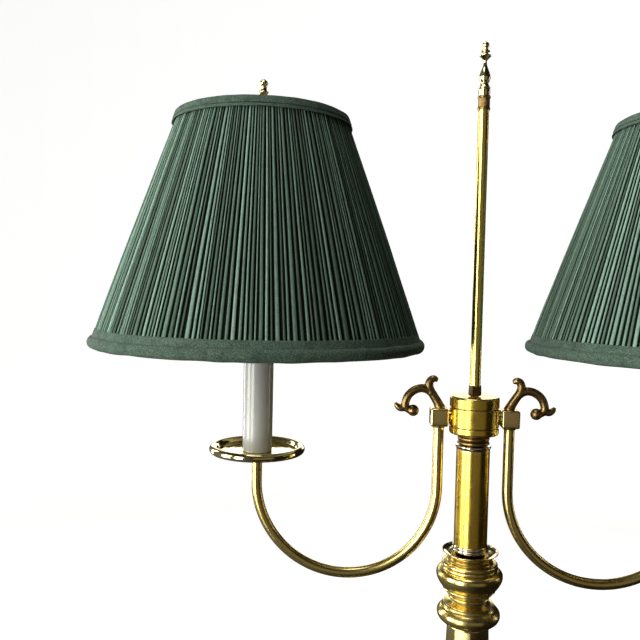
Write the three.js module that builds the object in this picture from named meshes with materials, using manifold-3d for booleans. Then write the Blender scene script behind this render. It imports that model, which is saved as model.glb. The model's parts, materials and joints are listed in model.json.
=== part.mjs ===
// Two-arm floor lamp with candle arms, pleated shades and a tall centre rod.
// Millimetres, +Z up, origin on the floor at the centre of the base, arms along X.

import * as THREE from "three";
import { mergeVertices } from "three/addons/utils/BufferGeometryUtils.js";
import Module from "manifold-3d";

const wasm = await Module();
wasm.setup();

// ---------------------------------------------------------------- driving dimensions

// Fits.
const SEAT_GAP = 0.3; // between pieces that rest on, screw into or surround each other

// Base.
const FELT_THICKNESS = 2.5;
const FELT_INSET = 4; // felt edge inside the base's edge
const BASE_RADIUS = 146;
const BASE_HEIGHT = 57.2;
const BASE_WALL = 2.6;
const PLINTH_HEIGHT = 11; // straight edge at the foot of the base
const BASE_TOP_RADIUS = 50;
const WEIGHT_THICKNESS = 24;
const NUT_WELL_RADIUS = 21; // hollow in the weight and felt that clears the nut
const NUT_WELL_DEPTH = 9;
const NUT_WIDTH = 22; // across flats
const NUT_HEIGHT = 5;
const WASHER_RADIUS = 16;
const WASHER_THICKNESS = 1.6;
const GROMMET_RADIUS = 5.4;
const GROMMET_FLANGE = 7.6;
const GROMMET_BORE = 3.4;

// Pipe through the whole column.
const PIPE_RADIUS = 5;
const PIPE_WALL = 1.4;
const PIPE_INTO_HEAD = 14; // how far the pipe reaches up inside the cluster

// Column, from the base up.
const COLLAR_HEIGHT = 14;
const COLLAR_RADIUS = 47;
const LOWER_SHAFT_LENGTH = 370;
const LOWER_SHAFT_FOOT = 43; // corner radius of the octagon
const LOWER_SHAFT_WAIST = 34;
const LOWER_SHAFT_HEAD = 26;
const SHAFT_FLARE_HEIGHT = 52; // height over which the lower shaft's foot spreads
const UPPER_SHAFT_LENGTH = 395.5;
const UPPER_SHAFT_FOOT = 31;
const UPPER_SHAFT_HEAD = 22.4;
const SHAFT_WALL = 2.2;
const LOW_KNOB_HEIGHT = 23;
const NECK_HEIGHT = 14.7;
const HIGH_KNOB_HEIGHT = 25.7;
const NECK_SPREAD = 8.4; // how far a neck's ends stand outside its waist
const MIDDLE_LOW_KNOB_RADIUS = 39;
const MIDDLE_NECK_RADIUS = 23;
const MIDDLE_HIGH_KNOB_RADIUS = 41.5;
const TOP_LOW_KNOB_RADIUS = 33.4;
const TOP_NECK_RADIUS = 18.6;
const TOP_HIGH_KNOB_RADIUS = 35.1;
const KNOB_LIP = 3.2; // how far a knob's end stands outside the shaft it covers
const TOP_COLLAR_HEIGHT = 12;
const TOP_COLLAR_RADIUS = 25;
const PLATE_RADIUS = 29.7;
const PLATE_THICKNESS = 3.2;
const STEM_RADIUS = 17.5;
const STEM_LENGTH = 109;
const STEM_WALL = 1.5;
const FOOT_BEAD_HEIGHT = 6.5;
const FOOT_BEAD_RADIUS = 19.6;
const TOP_RING_HEIGHT = 4;
const TOP_RING_RADIUS = 18.8;
const LOCK_RING_HEIGHT = 4.3;
const LOCK_RING_RADIUS = 16.75;

// Cluster: the round body that carries the two arms.
const CLUSTER_RADIUS = 25.8;
const CLUSTER_WALL = 4.5;
const CAP_HEIGHT = 11.8; // top cap
const BODY_HEIGHT = 20;
const FOOT_CAP_HEIGHT = 8;
const SWIVEL_BOSS_HEIGHT = 2.3;
const SWIVEL_BOSS_RADIUS = 11;
const CAP_ROUNDING = 2.2;
const GROOVE = 0.8; // chamfer on each side of a joint line

// Centre rod.
const COUPLING_WIDTH = 13.8; // across flats
const COUPLING_HEIGHT = 12.8;
const COUPLING_STUD_RADIUS = 4;
const COUPLING_STUD_LENGTH = 9;
const ROD_RADIUS = 5.55;
const ROD_LENGTH = 308.8; // exposed length and both hidden ends
const ROD_SEAT_DEPTH = 5; // rod end inside the coupling
const ROD_COLLAR_HEIGHT = 14.3;
const ROD_COLLAR_RADIUS = 6.7;
const ROD_TIP = 4; // rod end above its collar, inside the finial
const ROD_FINIAL_HEIGHT = 55.5;
const ROD_FINIAL_RADIUS = 6;

// Arms.
const ARM_BLOCK_GAP = 1.7; // cluster to block, bridged by the arm's neck
const ARM_REACH = 230.8; // column axis to the candle
const ARM_RADIUS = 5.55;
const ARM_WALL = 1.2;
const ARM_BEND_DROP = 99.6; // cluster top down to the centre of the bend
const BLOCK_SIZE = 19;
const BLOCK_CHAMFER = 2;
const BLOCK_CENTRE_DROP = 23; // cluster top down to the block's centre
const BLOCK_BORE_DEPTH = 8;
const ARM_NECK_RADIUS = 7;
const ARM_NIPPLE_RADIUS = 4.9;
const SCROLL_THICKNESS = 7;

// Candle.
const DISH_RIM_DROP = 63.7; // cluster top down to the middle of the dish's rim
const DISH_RADIUS = 51.5;
const DISH_RIM_RADIUS = 4; // rolled edge
const DISH_DEPTH = 3; // rim's middle down to the floor of the dish
const DISH_THICKNESS = 2.6;
const DISH_HUB_RADIUS = 13;
const DISH_HUB_HEIGHT = 2.4;
const SLEEVE_RADIUS = 16;
const SLEEVE_WALL = 1.8;
const SLEEVE_LENGTH = 131.7;
const SADDLE_THICKNESS = 1.8;
const SADDLE_WIDTH = 15;
const SADDLE_HALF_SPAN = 34;
const SADDLE_POST_RADIUS = 2.6;
const SADDLE_POST_HEIGHT = 9;
const HARP_WIRE_RADIUS = 2;
const HARP_HALF_WIDTH = 57;
const HARP_SEAT_RADIUS = 6.5;
const HARP_SEAT_THICKNESS = 2;
const HARP_STUD_RADIUS = 3.1;
const HARP_STUD_LENGTH = 9;
const SOCKET_RADIUS = 17;
const SOCKET_HEIGHT = 50;
const SOCKET_WALL = 1.8;
const SOCKET_FLOOR = 24; // solid foot of the socket below the bulb's place
const ARM_TIP = 6; // arm tube inside the foot of the socket
const BULB_RADIUS = 30;
const BULB_HEIGHT = 102;
const BULB_BASE_RADIUS = 13.2;
const SWITCH_STEM_RADIUS = 2.2;
const SWITCH_STEM_LENGTH = 13;
const SWITCH_HEIGHT = 31; // above the foot of the socket
const SWITCH_KEY_LENGTH = 15;
const SWITCH_KEY_THICKNESS = 3.6;

// Shade.
const SHADE_BOTTOM_RADIUS = 177.8;
const SHADE_TOP_RADIUS = 92.2;
const SHADE_HEIGHT = 243.2;
const SHADE_TOP_RECESS = 9.6; // shade's top edge above the harp's seat for the hub
const SHADE_FOOT_RISE = 46.4; // shade's bottom edge above the top of the cluster
const COVER_THICKNESS = 1.6;
const TRIM_THICKNESS = 2.2;
const TOP_TRIM_HEIGHT = 11.5;
const BOTTOM_TRIM_HEIGHT = 18.7;
const FRAME_WIRE_RADIUS = 1.5;
const FRAME_RIBS = 6;
const FRAME_SPOKES = 3;
const HUB_RADIUS = 11;
const HUB_THICKNESS = 2;
const SHADE_FINIAL_HEIGHT = 47.4;
const SHADE_FINIAL_RADIUS = 5.4;

// Smoothness.
const WIDE_FACETS = 24;
const ROUND_FACETS = 16;
const SMALL_FACETS = 12;
const BAR_SIDES = 8;
const SCROLL_SIDES = 6;
const WIRE_SIDES = 4;
const BEND_STEPS = 15;

// ---------------------------------------------------------------- materials

const finish = (color, roughness, metalness) =>
  new THREE.MeshStandardMaterial({ color, roughness, metalness });

const antiqueBrass = finish(0xa07a34, 0.36, 1);
const polishedBrass = finish(0xd2b060, 0.2, 1);
const bronze = finish(0x7a5a2c, 0.42, 1);
const darkNut = finish(0x4b3522, 0.5, 1);
const silverRing = finish(0xd8d2bd, 0.22, 1);
const steel = finish(0x9b9b98, 0.4, 1);
const iron = finish(0x2f2f30, 0.7, 1);
const felt = finish(0x1f3a2b, 0.95, 0);
const blackPlastic = finish(0x191919, 0.45, 0);
const candleCard = finish(0xe9e6da, 0.35, 0);
const opalGlass = finish(0xf2eee2, 0.25, 0);
const greenCloth = finish(0x1e3a2c, 0.85, 0);
const greenTape = finish(0x42594a, 0.9, 0);

// ---------------------------------------------------------------- solids and shapes

// A closed solid from a geometry whose faces may point in or out.
function solid(geometry) {
  const bare = geometry.clone();
  bare.deleteAttribute("normal");
  bare.deleteAttribute("uv");
  const merged = mergeVertices(bare, 1e-3);
  const points = merged.attributes.position.array;
  const corners = [];
  let volume = 0;
  const [a, b, c] = [new THREE.Vector3(), new THREE.Vector3(), new THREE.Vector3()];
  for (let i = 0; i < merged.index.count; i += 3) {
    const face = [0, 1, 2].map((k) => merged.index.getX(i + k));
    if (new Set(face).size < 3) continue;
    corners.push(...face);
    [a, b, c].forEach((corner, k) => corner.fromArray(points, 3 * face[k]));
    volume += a.dot(b.cross(c));
  }
  if (volume < 0) corners.reverse();
  return new wasm.Manifold(new wasm.Mesh({
    numProp: 3,
    vertProperties: Float32Array.from(points),
    triVerts: Uint32Array.from(corners),
  }));
}

// The geometry of a closed solid.
function shapeOf(body) {
  const mesh = body.getMesh();
  const geometry = new THREE.BufferGeometry();
  geometry.setAttribute("position", new THREE.BufferAttribute(mesh.vertProperties, 3));
  geometry.setIndex(new THREE.BufferAttribute(mesh.triVerts, 1));
  geometry.computeVertexNormals();
  return geometry;
}

const join = (first, ...others) =>
  shapeOf(others.reduce((sum, other) => sum.add(solid(other)), solid(first)));

const cut = (body, ...tools) =>
  shapeOf(tools.reduce((rest, tool) => rest.subtract(solid(tool)), solid(body)));

// A turned piece about Z: the profile is a list of [radius, height].
function turned(profile, facets = ROUND_FACETS) {
  const points = profile.map(([radius, height]) => new THREE.Vector2(radius, height));
  return shapeOf(solid(new THREE.LatheGeometry(points, facets).rotateX(Math.PI / 2)));
}

// A turned piece with a bore: the outside profile runs from its foot to its head.
function bored(outside, bore, facets = ROUND_FACETS) {
  const foot = outside[0][1];
  const head = outside.at(-1)[1];
  return turned([[bore, foot], ...outside, [bore, head], [bore, foot]], facets);
}

const ring = (inner, outer, foot, head, facets = ROUND_FACETS) =>
  bored([[outer, foot], [outer, head]], inner, facets);

const disc = (radius, foot, head, facets = ROUND_FACETS) =>
  turned([[0, foot], [radius, foot], [radius, head], [0, head]], facets);

// Points of an elliptical arc in the profile plane, angles in degrees from +radius.
function arc(radius, height, acrossRadius, alongRadius, from, to, steps) {
  return Array.from({ length: steps + 1 }, (_, i) => {
    const angle = THREE.MathUtils.degToRad(from + ((to - from) * i) / steps);
    return [radius + acrossRadius * Math.cos(angle), height + alongRadius * Math.sin(angle)];
  });
}

// A hexagonal prism with its flats a given width apart.
const hexagon = (width, foot, head) =>
  disc(width / Math.sqrt(3), foot, head, 6);

// A round bar or tube swept along a curve.
function swept(curve, radius, steps, bore = 0, sides = BAR_SIDES) {
  const section = new THREE.Shape().absarc(0, 0, radius, 0, 2 * Math.PI, false);
  if (bore > 0) section.holes.push(new THREE.Path().absarc(0, 0, bore, 0, 2 * Math.PI, true));
  return new THREE.ExtrudeGeometry(section, {
    steps, extrudePath: curve, bevelEnabled: false, curveSegments: sides / 2,
  });
}

const at = (x, y, z) => new THREE.Vector3(x, y, z);

const straightBar = (from, to, radius, sides = BAR_SIDES) =>
  swept(new THREE.LineCurve3(from, to), radius, 1, 0, sides);

const ball = (radius, centre) =>
  new THREE.SphereGeometry(radius, 6, 4).translate(centre.x, centre.y, centre.z);

function piece(name, geometry, material) {
  const mesh = new THREE.Mesh(geometry, material);
  mesh.name = name;
  return mesh;
}

// ---------------------------------------------------------------- base

const pipeBore = PIPE_RADIUS + SEAT_GAP;

// Outline of the base from its edge to its top: plinth, step, then an ogee up to the collar.
function baseOutline(inset) {
  const edge = BASE_RADIUS - inset;
  const top = BASE_HEIGHT - inset;
  const step = PLINTH_HEIGHT - inset;
  const shoulder = new THREE.Vector2(edge - 12, step + 5);
  const ogee = new THREE.CubicBezierCurve(
    shoulder,
    new THREE.Vector2(BASE_TOP_RADIUS + 0.35 * (shoulder.x - BASE_TOP_RADIUS), step + 12),
    new THREE.Vector2(BASE_TOP_RADIUS + 6, top - 26),
    new THREE.Vector2(BASE_TOP_RADIUS - inset, top),
  );
  return [
    [edge, 0], [edge, step], [edge - 3, step + 3], [edge - 9, step + 3],
    ...ogee.getPoints(4).map((point) => [point.x, point.y]),
  ];
}

function baseShell() {
  const outside = baseOutline(0);
  const inside = baseOutline(BASE_WALL).reverse();
  const shell = turned([...outside, [pipeBore, BASE_HEIGHT], [pipeBore, BASE_HEIGHT - BASE_WALL],
    ...inside, [BASE_RADIUS, 0]], WIDE_FACETS);
  const hole = straightBar(
    at(0, BASE_RADIUS - 4 * BASE_WALL, grommetHeight),
    at(0, BASE_RADIUS + BASE_WALL, grommetHeight),
    GROMMET_RADIUS + SEAT_GAP,
    SMALL_FACETS,
  );
  return cut(shell, hole);
}

const grommetHeight = GROMMET_FLANGE + 0.6;

function baseWeight() {
  const filling = bored(baseOutline(BASE_WALL + SEAT_GAP), pipeBore, WIDE_FACETS);
  const above = disc(BASE_RADIUS, WEIGHT_THICKNESS, BASE_HEIGHT, WIDE_FACETS);
  const well = disc(NUT_WELL_RADIUS, -1, NUT_WELL_DEPTH);
  const clear = GROMMET_RADIUS + SEAT_GAP;
  const channel = new THREE.BoxGeometry(2 * clear, BASE_RADIUS, 2 * (grommetHeight + clear))
    .translate(0, BASE_RADIUS / 2, 0);
  return cut(filling, above, well, channel);
}

const cordGrommet = () => turned([
  [GROMMET_BORE, 0], [GROMMET_RADIUS, 0], [GROMMET_RADIUS, BASE_WALL + SEAT_GAP + 2],
  [GROMMET_FLANGE, BASE_WALL + SEAT_GAP + 2], [GROMMET_FLANGE - 1, BASE_WALL + SEAT_GAP + 4.5],
  [GROMMET_BORE, BASE_WALL + SEAT_GAP + 4.5], [GROMMET_BORE, 0],
], SMALL_FACETS);

const nut = () => cut(hexagon(NUT_WIDTH, 0, NUT_HEIGHT), disc(pipeBore, -1, NUT_HEIGHT + 1, SMALL_FACETS));

// ---------------------------------------------------------------- column

// A tapered octagonal tube; sections are [share of the length from the foot, corner radius].
function octagonalShaft(length, sections) {
  const outside = sections.map(([share, radius]) => [radius, share * length]);
  const inside = outside.map(([radius, height]) => [radius - SHAFT_WALL, height]).reverse();
  return turned([...outside, ...inside, outside[0]], 8);
}

const lowerShaft = () => octagonalShaft(LOWER_SHAFT_LENGTH, [
  [0, LOWER_SHAFT_FOOT],
  [0.3 * SHAFT_FLARE_HEIGHT / LOWER_SHAFT_LENGTH,
    LOWER_SHAFT_WAIST + 0.4 * (LOWER_SHAFT_FOOT - LOWER_SHAFT_WAIST)],
  [SHAFT_FLARE_HEIGHT / LOWER_SHAFT_LENGTH, LOWER_SHAFT_WAIST],
  [1, LOWER_SHAFT_HEAD],
]);

const upperShaft = () => octagonalShaft(UPPER_SHAFT_LENGTH, [
  [0, UPPER_SHAFT_FOOT],
  [0.8, UPPER_SHAFT_HEAD + 0.36 * (UPPER_SHAFT_FOOT - UPPER_SHAFT_HEAD)],
  [1, UPPER_SHAFT_HEAD],
]);

// A turned knob that swells between two smaller ends, fuller near its wider end.
function knob(height, lowRadius, middleRadius, highRadius) {
  const waist = 0.52 * height;
  const low = arc(lowRadius, waist, middleRadius - lowRadius, waist - 2, -75, -12, 2);
  const high = arc(highRadius, waist, middleRadius - highRadius, height - waist - 3, 12, 75, 2);
  return bored([[lowRadius, 0], ...low, ...high, [highRadius + 0.6, height - 1.2],
    [highRadius, height]], pipeBore);
}

// A neck that narrows above its foot to a waist with a small ring, then widens under the knob it carries.
function neck(height, waistRadius) {
  const end = waistRadius + NECK_SPREAD - 0.6;
  return bored([[end, 0], [waistRadius + 2.4, 0.14 * height], [waistRadius, 0.3 * height],
    [waistRadius + 0.3, 0.42 * height], [waistRadius + 2, 0.48 * height],
    [waistRadius + 2, 0.58 * height], [waistRadius + 5, 0.78 * height], [end, height]], pipeBore);
}

function topCollar() {
  const waist = TOP_COLLAR_RADIUS - 1;
  return bored([[TOP_COLLAR_RADIUS, 0], [waist, 0.3 * TOP_COLLAR_HEIGHT],
    [waist, 0.7 * TOP_COLLAR_HEIGHT], [TOP_COLLAR_RADIUS, TOP_COLLAR_HEIGHT]], pipeBore);
}

const checkPlate = () => bored([[TOP_COLLAR_RADIUS - 1, 0],
  [PLATE_RADIUS - 1, PLATE_THICKNESS - 1.6], [PLATE_RADIUS, PLATE_THICKNESS - 0.7],
  [PLATE_RADIUS - 0.8, PLATE_THICKNESS]], pipeBore);

// A ring with a rounded outside.
function beadRing(inner, outer, height) {
  const round = Math.min(height / 2, outer - inner - 0.2);
  return bored([[outer - round, 0], ...arc(outer - round, height / 2, round, height / 2, -60, 60, 2),
    [outer - round, height]], inner);
}

const baseCollar = () => bored([[COLLAR_RADIUS + 1, 0],
  [COLLAR_RADIUS + 1, 0.28 * COLLAR_HEIGHT], [COLLAR_RADIUS - 3, 0.5 * COLLAR_HEIGHT],
  [COLLAR_RADIUS - 1, 0.75 * COLLAR_HEIGHT], [COLLAR_RADIUS - 1, COLLAR_HEIGHT]], pipeBore);

// Pieces threaded on the pipe, from the floor up: name, geometry, height, material.
function columnPieces() {
  const lipOver = (shaftRadius) => shaftRadius + KNOB_LIP;
  return [
    ["felt_pad", ring(NUT_WELL_RADIUS, BASE_RADIUS - FELT_INSET, 0, FELT_THICKNESS, WIDE_FACETS),
      FELT_THICKNESS, felt],
    ["base_shell", baseShell(), BASE_HEIGHT, antiqueBrass],
    ["base_collar", baseCollar(), COLLAR_HEIGHT, antiqueBrass],
    ["lower_octagonal_shaft", lowerShaft(), LOWER_SHAFT_LENGTH, antiqueBrass],
    ["middle_low_knob", knob(LOW_KNOB_HEIGHT, lipOver(LOWER_SHAFT_HEAD), MIDDLE_LOW_KNOB_RADIUS,
      MIDDLE_NECK_RADIUS + NECK_SPREAD), LOW_KNOB_HEIGHT, antiqueBrass],
    ["middle_neck", neck(NECK_HEIGHT, MIDDLE_NECK_RADIUS), NECK_HEIGHT, antiqueBrass],
    ["middle_high_knob", knob(HIGH_KNOB_HEIGHT, MIDDLE_NECK_RADIUS + NECK_SPREAD,
      MIDDLE_HIGH_KNOB_RADIUS, lipOver(UPPER_SHAFT_FOOT)), HIGH_KNOB_HEIGHT, antiqueBrass],
    ["upper_octagonal_shaft", upperShaft(), UPPER_SHAFT_LENGTH, antiqueBrass],
    ["top_low_knob", knob(LOW_KNOB_HEIGHT, lipOver(UPPER_SHAFT_HEAD) - 1.6, TOP_LOW_KNOB_RADIUS,
      TOP_NECK_RADIUS + NECK_SPREAD), LOW_KNOB_HEIGHT, antiqueBrass],
    ["top_neck", neck(NECK_HEIGHT, TOP_NECK_RADIUS), NECK_HEIGHT, antiqueBrass],
    ["top_high_knob", knob(HIGH_KNOB_HEIGHT, TOP_NECK_RADIUS + NECK_SPREAD, TOP_HIGH_KNOB_RADIUS,
      TOP_COLLAR_RADIUS + 4.4), HIGH_KNOB_HEIGHT, antiqueBrass],
    ["top_collar", topCollar(), TOP_COLLAR_HEIGHT, antiqueBrass],
    ["check_plate", checkPlate(), PLATE_THICKNESS, polishedBrass],
    ["stem_tube", ring(STEM_RADIUS - STEM_WALL, STEM_RADIUS, 0, STEM_LENGTH), STEM_LENGTH,
      antiqueBrass],
    ["stem_top_ring", beadRing(pipeBore, TOP_RING_RADIUS, TOP_RING_HEIGHT), TOP_RING_HEIGHT,
      silverRing],
    ["lock_ring_lower", beadRing(pipeBore, LOCK_RING_RADIUS, LOCK_RING_HEIGHT), LOCK_RING_HEIGHT,
      bronze],
    ["lock_ring_upper", beadRing(pipeBore, LOCK_RING_RADIUS, LOCK_RING_HEIGHT), LOCK_RING_HEIGHT,
      bronze],
  ];
}

// Stacks the column's pieces and returns the level of each piece's foot, and of the top.
function buildColumn(lamp) {
  const levels = {};
  let level = 0;
  for (const [name, geometry, height, material] of columnPieces()) {
    const mesh = piece(name, geometry, material);
    mesh.position.z = level;
    lamp.add(mesh);
    levels[name] = level;
    level += height + SEAT_GAP;
  }
  levels.top = level;
  return levels;
}

// Pieces inside and round the column that don't stand in the stack.
function buildColumnFittings(lamp, levels, headLevel) {
  const bead = beadRing(STEM_RADIUS + SEAT_GAP, FOOT_BEAD_RADIUS, FOOT_BEAD_HEIGHT);
  const nutTop = levels.base_shell + NUT_WELL_DEPTH - WASHER_THICKNESS - 2 * SEAT_GAP;
  const pipeFoot = nutTop - NUT_HEIGHT - 0.5;
  const pipeHead = headLevel - CAP_HEIGHT - BODY_HEIGHT - SEAT_GAP + PIPE_INTO_HEAD;
  const fittings = [
    ["stem_foot_bead", bead, levels.stem_tube, silverRing],
    ["base_weight", baseWeight(), levels.base_shell, iron],
    ["base_washer", ring(pipeBore, WASHER_RADIUS, 0, WASHER_THICKNESS), nutTop + SEAT_GAP, steel],
    ["base_nut", nut(), nutTop - NUT_HEIGHT, steel],
    ["threaded_pipe", ring(PIPE_RADIUS - PIPE_WALL, PIPE_RADIUS, 0, pipeHead - pipeFoot,
      SMALL_FACETS), pipeFoot, steel],
  ];
  for (const [name, geometry, level, material] of fittings) {
    const mesh = piece(name, geometry, material);
    mesh.position.z = level;
    lamp.add(mesh);
  }
  const grommet = piece("cord_grommet", cordGrommet(), blackPlastic);
  grommet.rotation.x = -Math.PI / 2;
  grommet.position.set(0, BASE_RADIUS - BASE_WALL - 2, levels.base_shell + grommetHeight);
  lamp.add(grommet);
}

// ---------------------------------------------------------------- cluster and centre rod
// Heights here are measured from the top of the cluster.

const bodyHead = -CAP_HEIGHT - SEAT_GAP / 2;
const bodyFoot = -CAP_HEIGHT - BODY_HEIGHT + SEAT_GAP / 2;
const clusterFoot = -CAP_HEIGHT - BODY_HEIGHT - FOOT_CAP_HEIGHT;

function clusterTopCap() {
  const foot = -CAP_HEIGHT + SEAT_GAP / 2;
  return bored([[CLUSTER_RADIUS - GROOVE, foot], [CLUSTER_RADIUS, foot + GROOVE],
    ...arc(CLUSTER_RADIUS - CAP_ROUNDING, -CAP_ROUNDING, CAP_ROUNDING, CAP_ROUNDING, 0, 90, 3)],
  COUPLING_STUD_RADIUS + SEAT_GAP);
}

function clusterBody() {
  const shell = bored([[CLUSTER_RADIUS - GROOVE, bodyFoot], [CLUSTER_RADIUS, bodyFoot + GROOVE],
    [CLUSTER_RADIUS, bodyHead - GROOVE], [CLUSTER_RADIUS - GROOVE, bodyHead]],
  CLUSTER_RADIUS - CLUSTER_WALL);
  const ports = straightBar(
    at(-2 * CLUSTER_RADIUS, 0, -BLOCK_CENTRE_DROP),
    at(2 * CLUSTER_RADIUS, 0, -BLOCK_CENTRE_DROP),
    ARM_NIPPLE_RADIUS + SEAT_GAP,
  );
  return cut(shell, ports);
}

function clusterFootCap() {
  const head = bodyFoot - SEAT_GAP;
  return bored([[SWIVEL_BOSS_RADIUS, clusterFoot - SWIVEL_BOSS_HEIGHT],
    [SWIVEL_BOSS_RADIUS, clusterFoot],
    ...arc(CLUSTER_RADIUS - CAP_ROUNDING, clusterFoot + CAP_ROUNDING,
      CAP_ROUNDING, CAP_ROUNDING, -90, 0, 3),
    [CLUSTER_RADIUS, head - GROOVE], [CLUSTER_RADIUS - GROOVE, head]], pipeBore);
}

function rodCoupling() {
  const body = join(
    hexagon(COUPLING_WIDTH, SEAT_GAP, COUPLING_HEIGHT),
    disc(COUPLING_STUD_RADIUS, -COUPLING_STUD_LENGTH, COUPLING_HEIGHT / 2, SMALL_FACETS),
  );
  const seat = disc(ROD_RADIUS + SEAT_GAP, COUPLING_HEIGHT - ROD_SEAT_DEPTH, COUPLING_HEIGHT + 1,
    SMALL_FACETS);
  return cut(body, seat);
}

// Urn, neck, cup, ring and ball, above a plain base that screws on the rod.
function rodFinial(foot) {
  const widest = ROD_FINIAL_RADIUS;
  const h = ROD_FINIAL_HEIGHT;
  const ballRadius = 0.65 * widest;
  const outline = [
    [0, 0], [widest, 0], [widest, 0.12 * h], [widest - 0.7, 0.145 * h], [widest, 0.17 * h],
    [0.72 * widest, 0.215 * h], [0.7 * widest, 0.24 * h], [0.96 * widest, 0.3 * h],
    [widest, 0.345 * h], [0.78 * widest, 0.43 * h], [0.36 * widest, 0.54 * h],
    [0.27 * widest, 0.61 * h], [0.5 * widest, 0.68 * h], [widest, 0.735 * h],
    [0.9 * widest, 0.765 * h], [0.55 * widest, 0.78 * h], [0.79 * widest, 0.825 * h],
    [0.5 * widest, 0.86 * h],
    ...arc(0, h - ballRadius, ballRadius, ballRadius, -40, 90, 3),
  ];
  const seat = disc(ROD_RADIUS + SEAT_GAP - 1.2, -1, ROD_TIP + SEAT_GAP, SMALL_FACETS);
  return cut(turned(outline, SMALL_FACETS), seat).translate(0, 0, foot);
}

function buildCluster(head) {
  const rodFoot = COUPLING_HEIGHT - ROD_SEAT_DEPTH + SEAT_GAP;
  const rodHead = rodFoot + ROD_LENGTH;
  const tipRadius = ROD_RADIUS - 1.2;
  const collarFoot = rodHead - ROD_TIP - ROD_COLLAR_HEIGHT;
  const rod = turned([[0, rodFoot], [ROD_RADIUS, rodFoot], [ROD_RADIUS, rodHead - ROD_TIP],
    [tipRadius, rodHead - ROD_TIP], [tipRadius, rodHead], [0, rodHead]], SMALL_FACETS);
  head.add(
    piece("cluster_foot_cap", clusterFootCap(), antiqueBrass),
    piece("cluster_body", clusterBody(), antiqueBrass),
    piece("cluster_top_cap", clusterTopCap(), antiqueBrass),
    piece("rod_coupling", rodCoupling(), darkNut),
    piece("centre_rod", rod, polishedBrass),
    piece("rod_collar", ring(ROD_RADIUS + SEAT_GAP, ROD_COLLAR_RADIUS, collarFoot,
      collarFoot + ROD_COLLAR_HEIGHT, SMALL_FACETS), bronze),
    piece("rod_finial", rodFinial(rodHead - ROD_TIP + SEAT_GAP), polishedBrass),
  );
}

// ---------------------------------------------------------------- arm with its candle
// An arm is drawn reaching towards +X; the other one is turned half a turn about the column.

const sleeveFoot = -DISH_RIM_DROP - DISH_DEPTH + SEAT_GAP;
const sleeveHead = sleeveFoot + SLEEVE_LENGTH;
const saddleFoot = sleeveHead + SEAT_GAP;
const socketFoot = saddleFoot + SADDLE_THICKNESS + SEAT_GAP;
const postHead = saddleFoot + SADDLE_THICKNESS + SADDLE_POST_HEIGHT;
const shadeFoot = SHADE_FOOT_RISE;
const shadeTop = shadeFoot + SHADE_HEIGHT;
const shadeSeat = shadeTop - SHADE_TOP_RECESS;
const armBore = ARM_RADIUS + SEAT_GAP;
const armRootX = CLUSTER_RADIUS + ARM_BLOCK_GAP + BLOCK_SIZE / 2;

function armBlock() {
  const top = -BLOCK_CENTRE_DROP + BLOCK_SIZE / 2;
  const half = BLOCK_SIZE / 2 - BLOCK_CHAMFER;
  const outline = new THREE.Shape([
    new THREE.Vector2(-half, -half), new THREE.Vector2(half, -half),
    new THREE.Vector2(half, half), new THREE.Vector2(-half, half),
  ]);
  const block = new THREE.ExtrudeGeometry(outline, {
    depth: BLOCK_SIZE - 2 * BLOCK_CHAMFER, bevelThickness: BLOCK_CHAMFER,
    bevelSize: BLOCK_CHAMFER, bevelSegments: 1,
  }).translate(armRootX, 0, top - BLOCK_SIZE + BLOCK_CHAMFER);
  const innerEnd = CLUSTER_RADIUS - CLUSTER_WALL;
  const nipple = straightBar(at(innerEnd, 0, -BLOCK_CENTRE_DROP),
    at(armRootX, 0, -BLOCK_CENTRE_DROP), ARM_NIPPLE_RADIUS);
  const neckBar = straightBar(at(CLUSTER_RADIUS + SEAT_GAP, 0, -BLOCK_CENTRE_DROP),
    at(armRootX, 0, -BLOCK_CENTRE_DROP), ARM_NECK_RADIUS);
  const bore = disc(armBore, top - BLOCK_SIZE - 1, top - BLOCK_SIZE + BLOCK_BORE_DEPTH,
    SMALL_FACETS).translate(armRootX, 0, 0);
  return cut(join(block, nipple, neckBar), bore);
}

// Down from the block, round half a circle and up through the dish to the socket.
function armTube() {
  const start = -BLOCK_CENTRE_DROP - BLOCK_SIZE / 2 + BLOCK_BORE_DEPTH - SEAT_GAP;
  const middle = (armRootX + ARM_REACH) / 2;
  const bend = (ARM_REACH - armRootX) / 2;
  const route = new THREE.CurvePath();
  const bendPoints = arc(middle, -ARM_BEND_DROP, bend, bend, 180, 360, BEND_STEPS);
  const points = [[armRootX, start], ...bendPoints, [ARM_REACH, socketFoot + ARM_TIP]];
  for (let i = 1; i < points.length; i += 1) {
    const [from, to] = [points[i - 1], points[i]];
    route.add(new THREE.LineCurve3(at(from[0], 0, from[1]), at(to[0], 0, to[1])));
  }
  return shapeOf(solid(swept(route, ARM_RADIUS, 2 * BEND_STEPS, ARM_RADIUS - ARM_WALL)));
}

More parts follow.
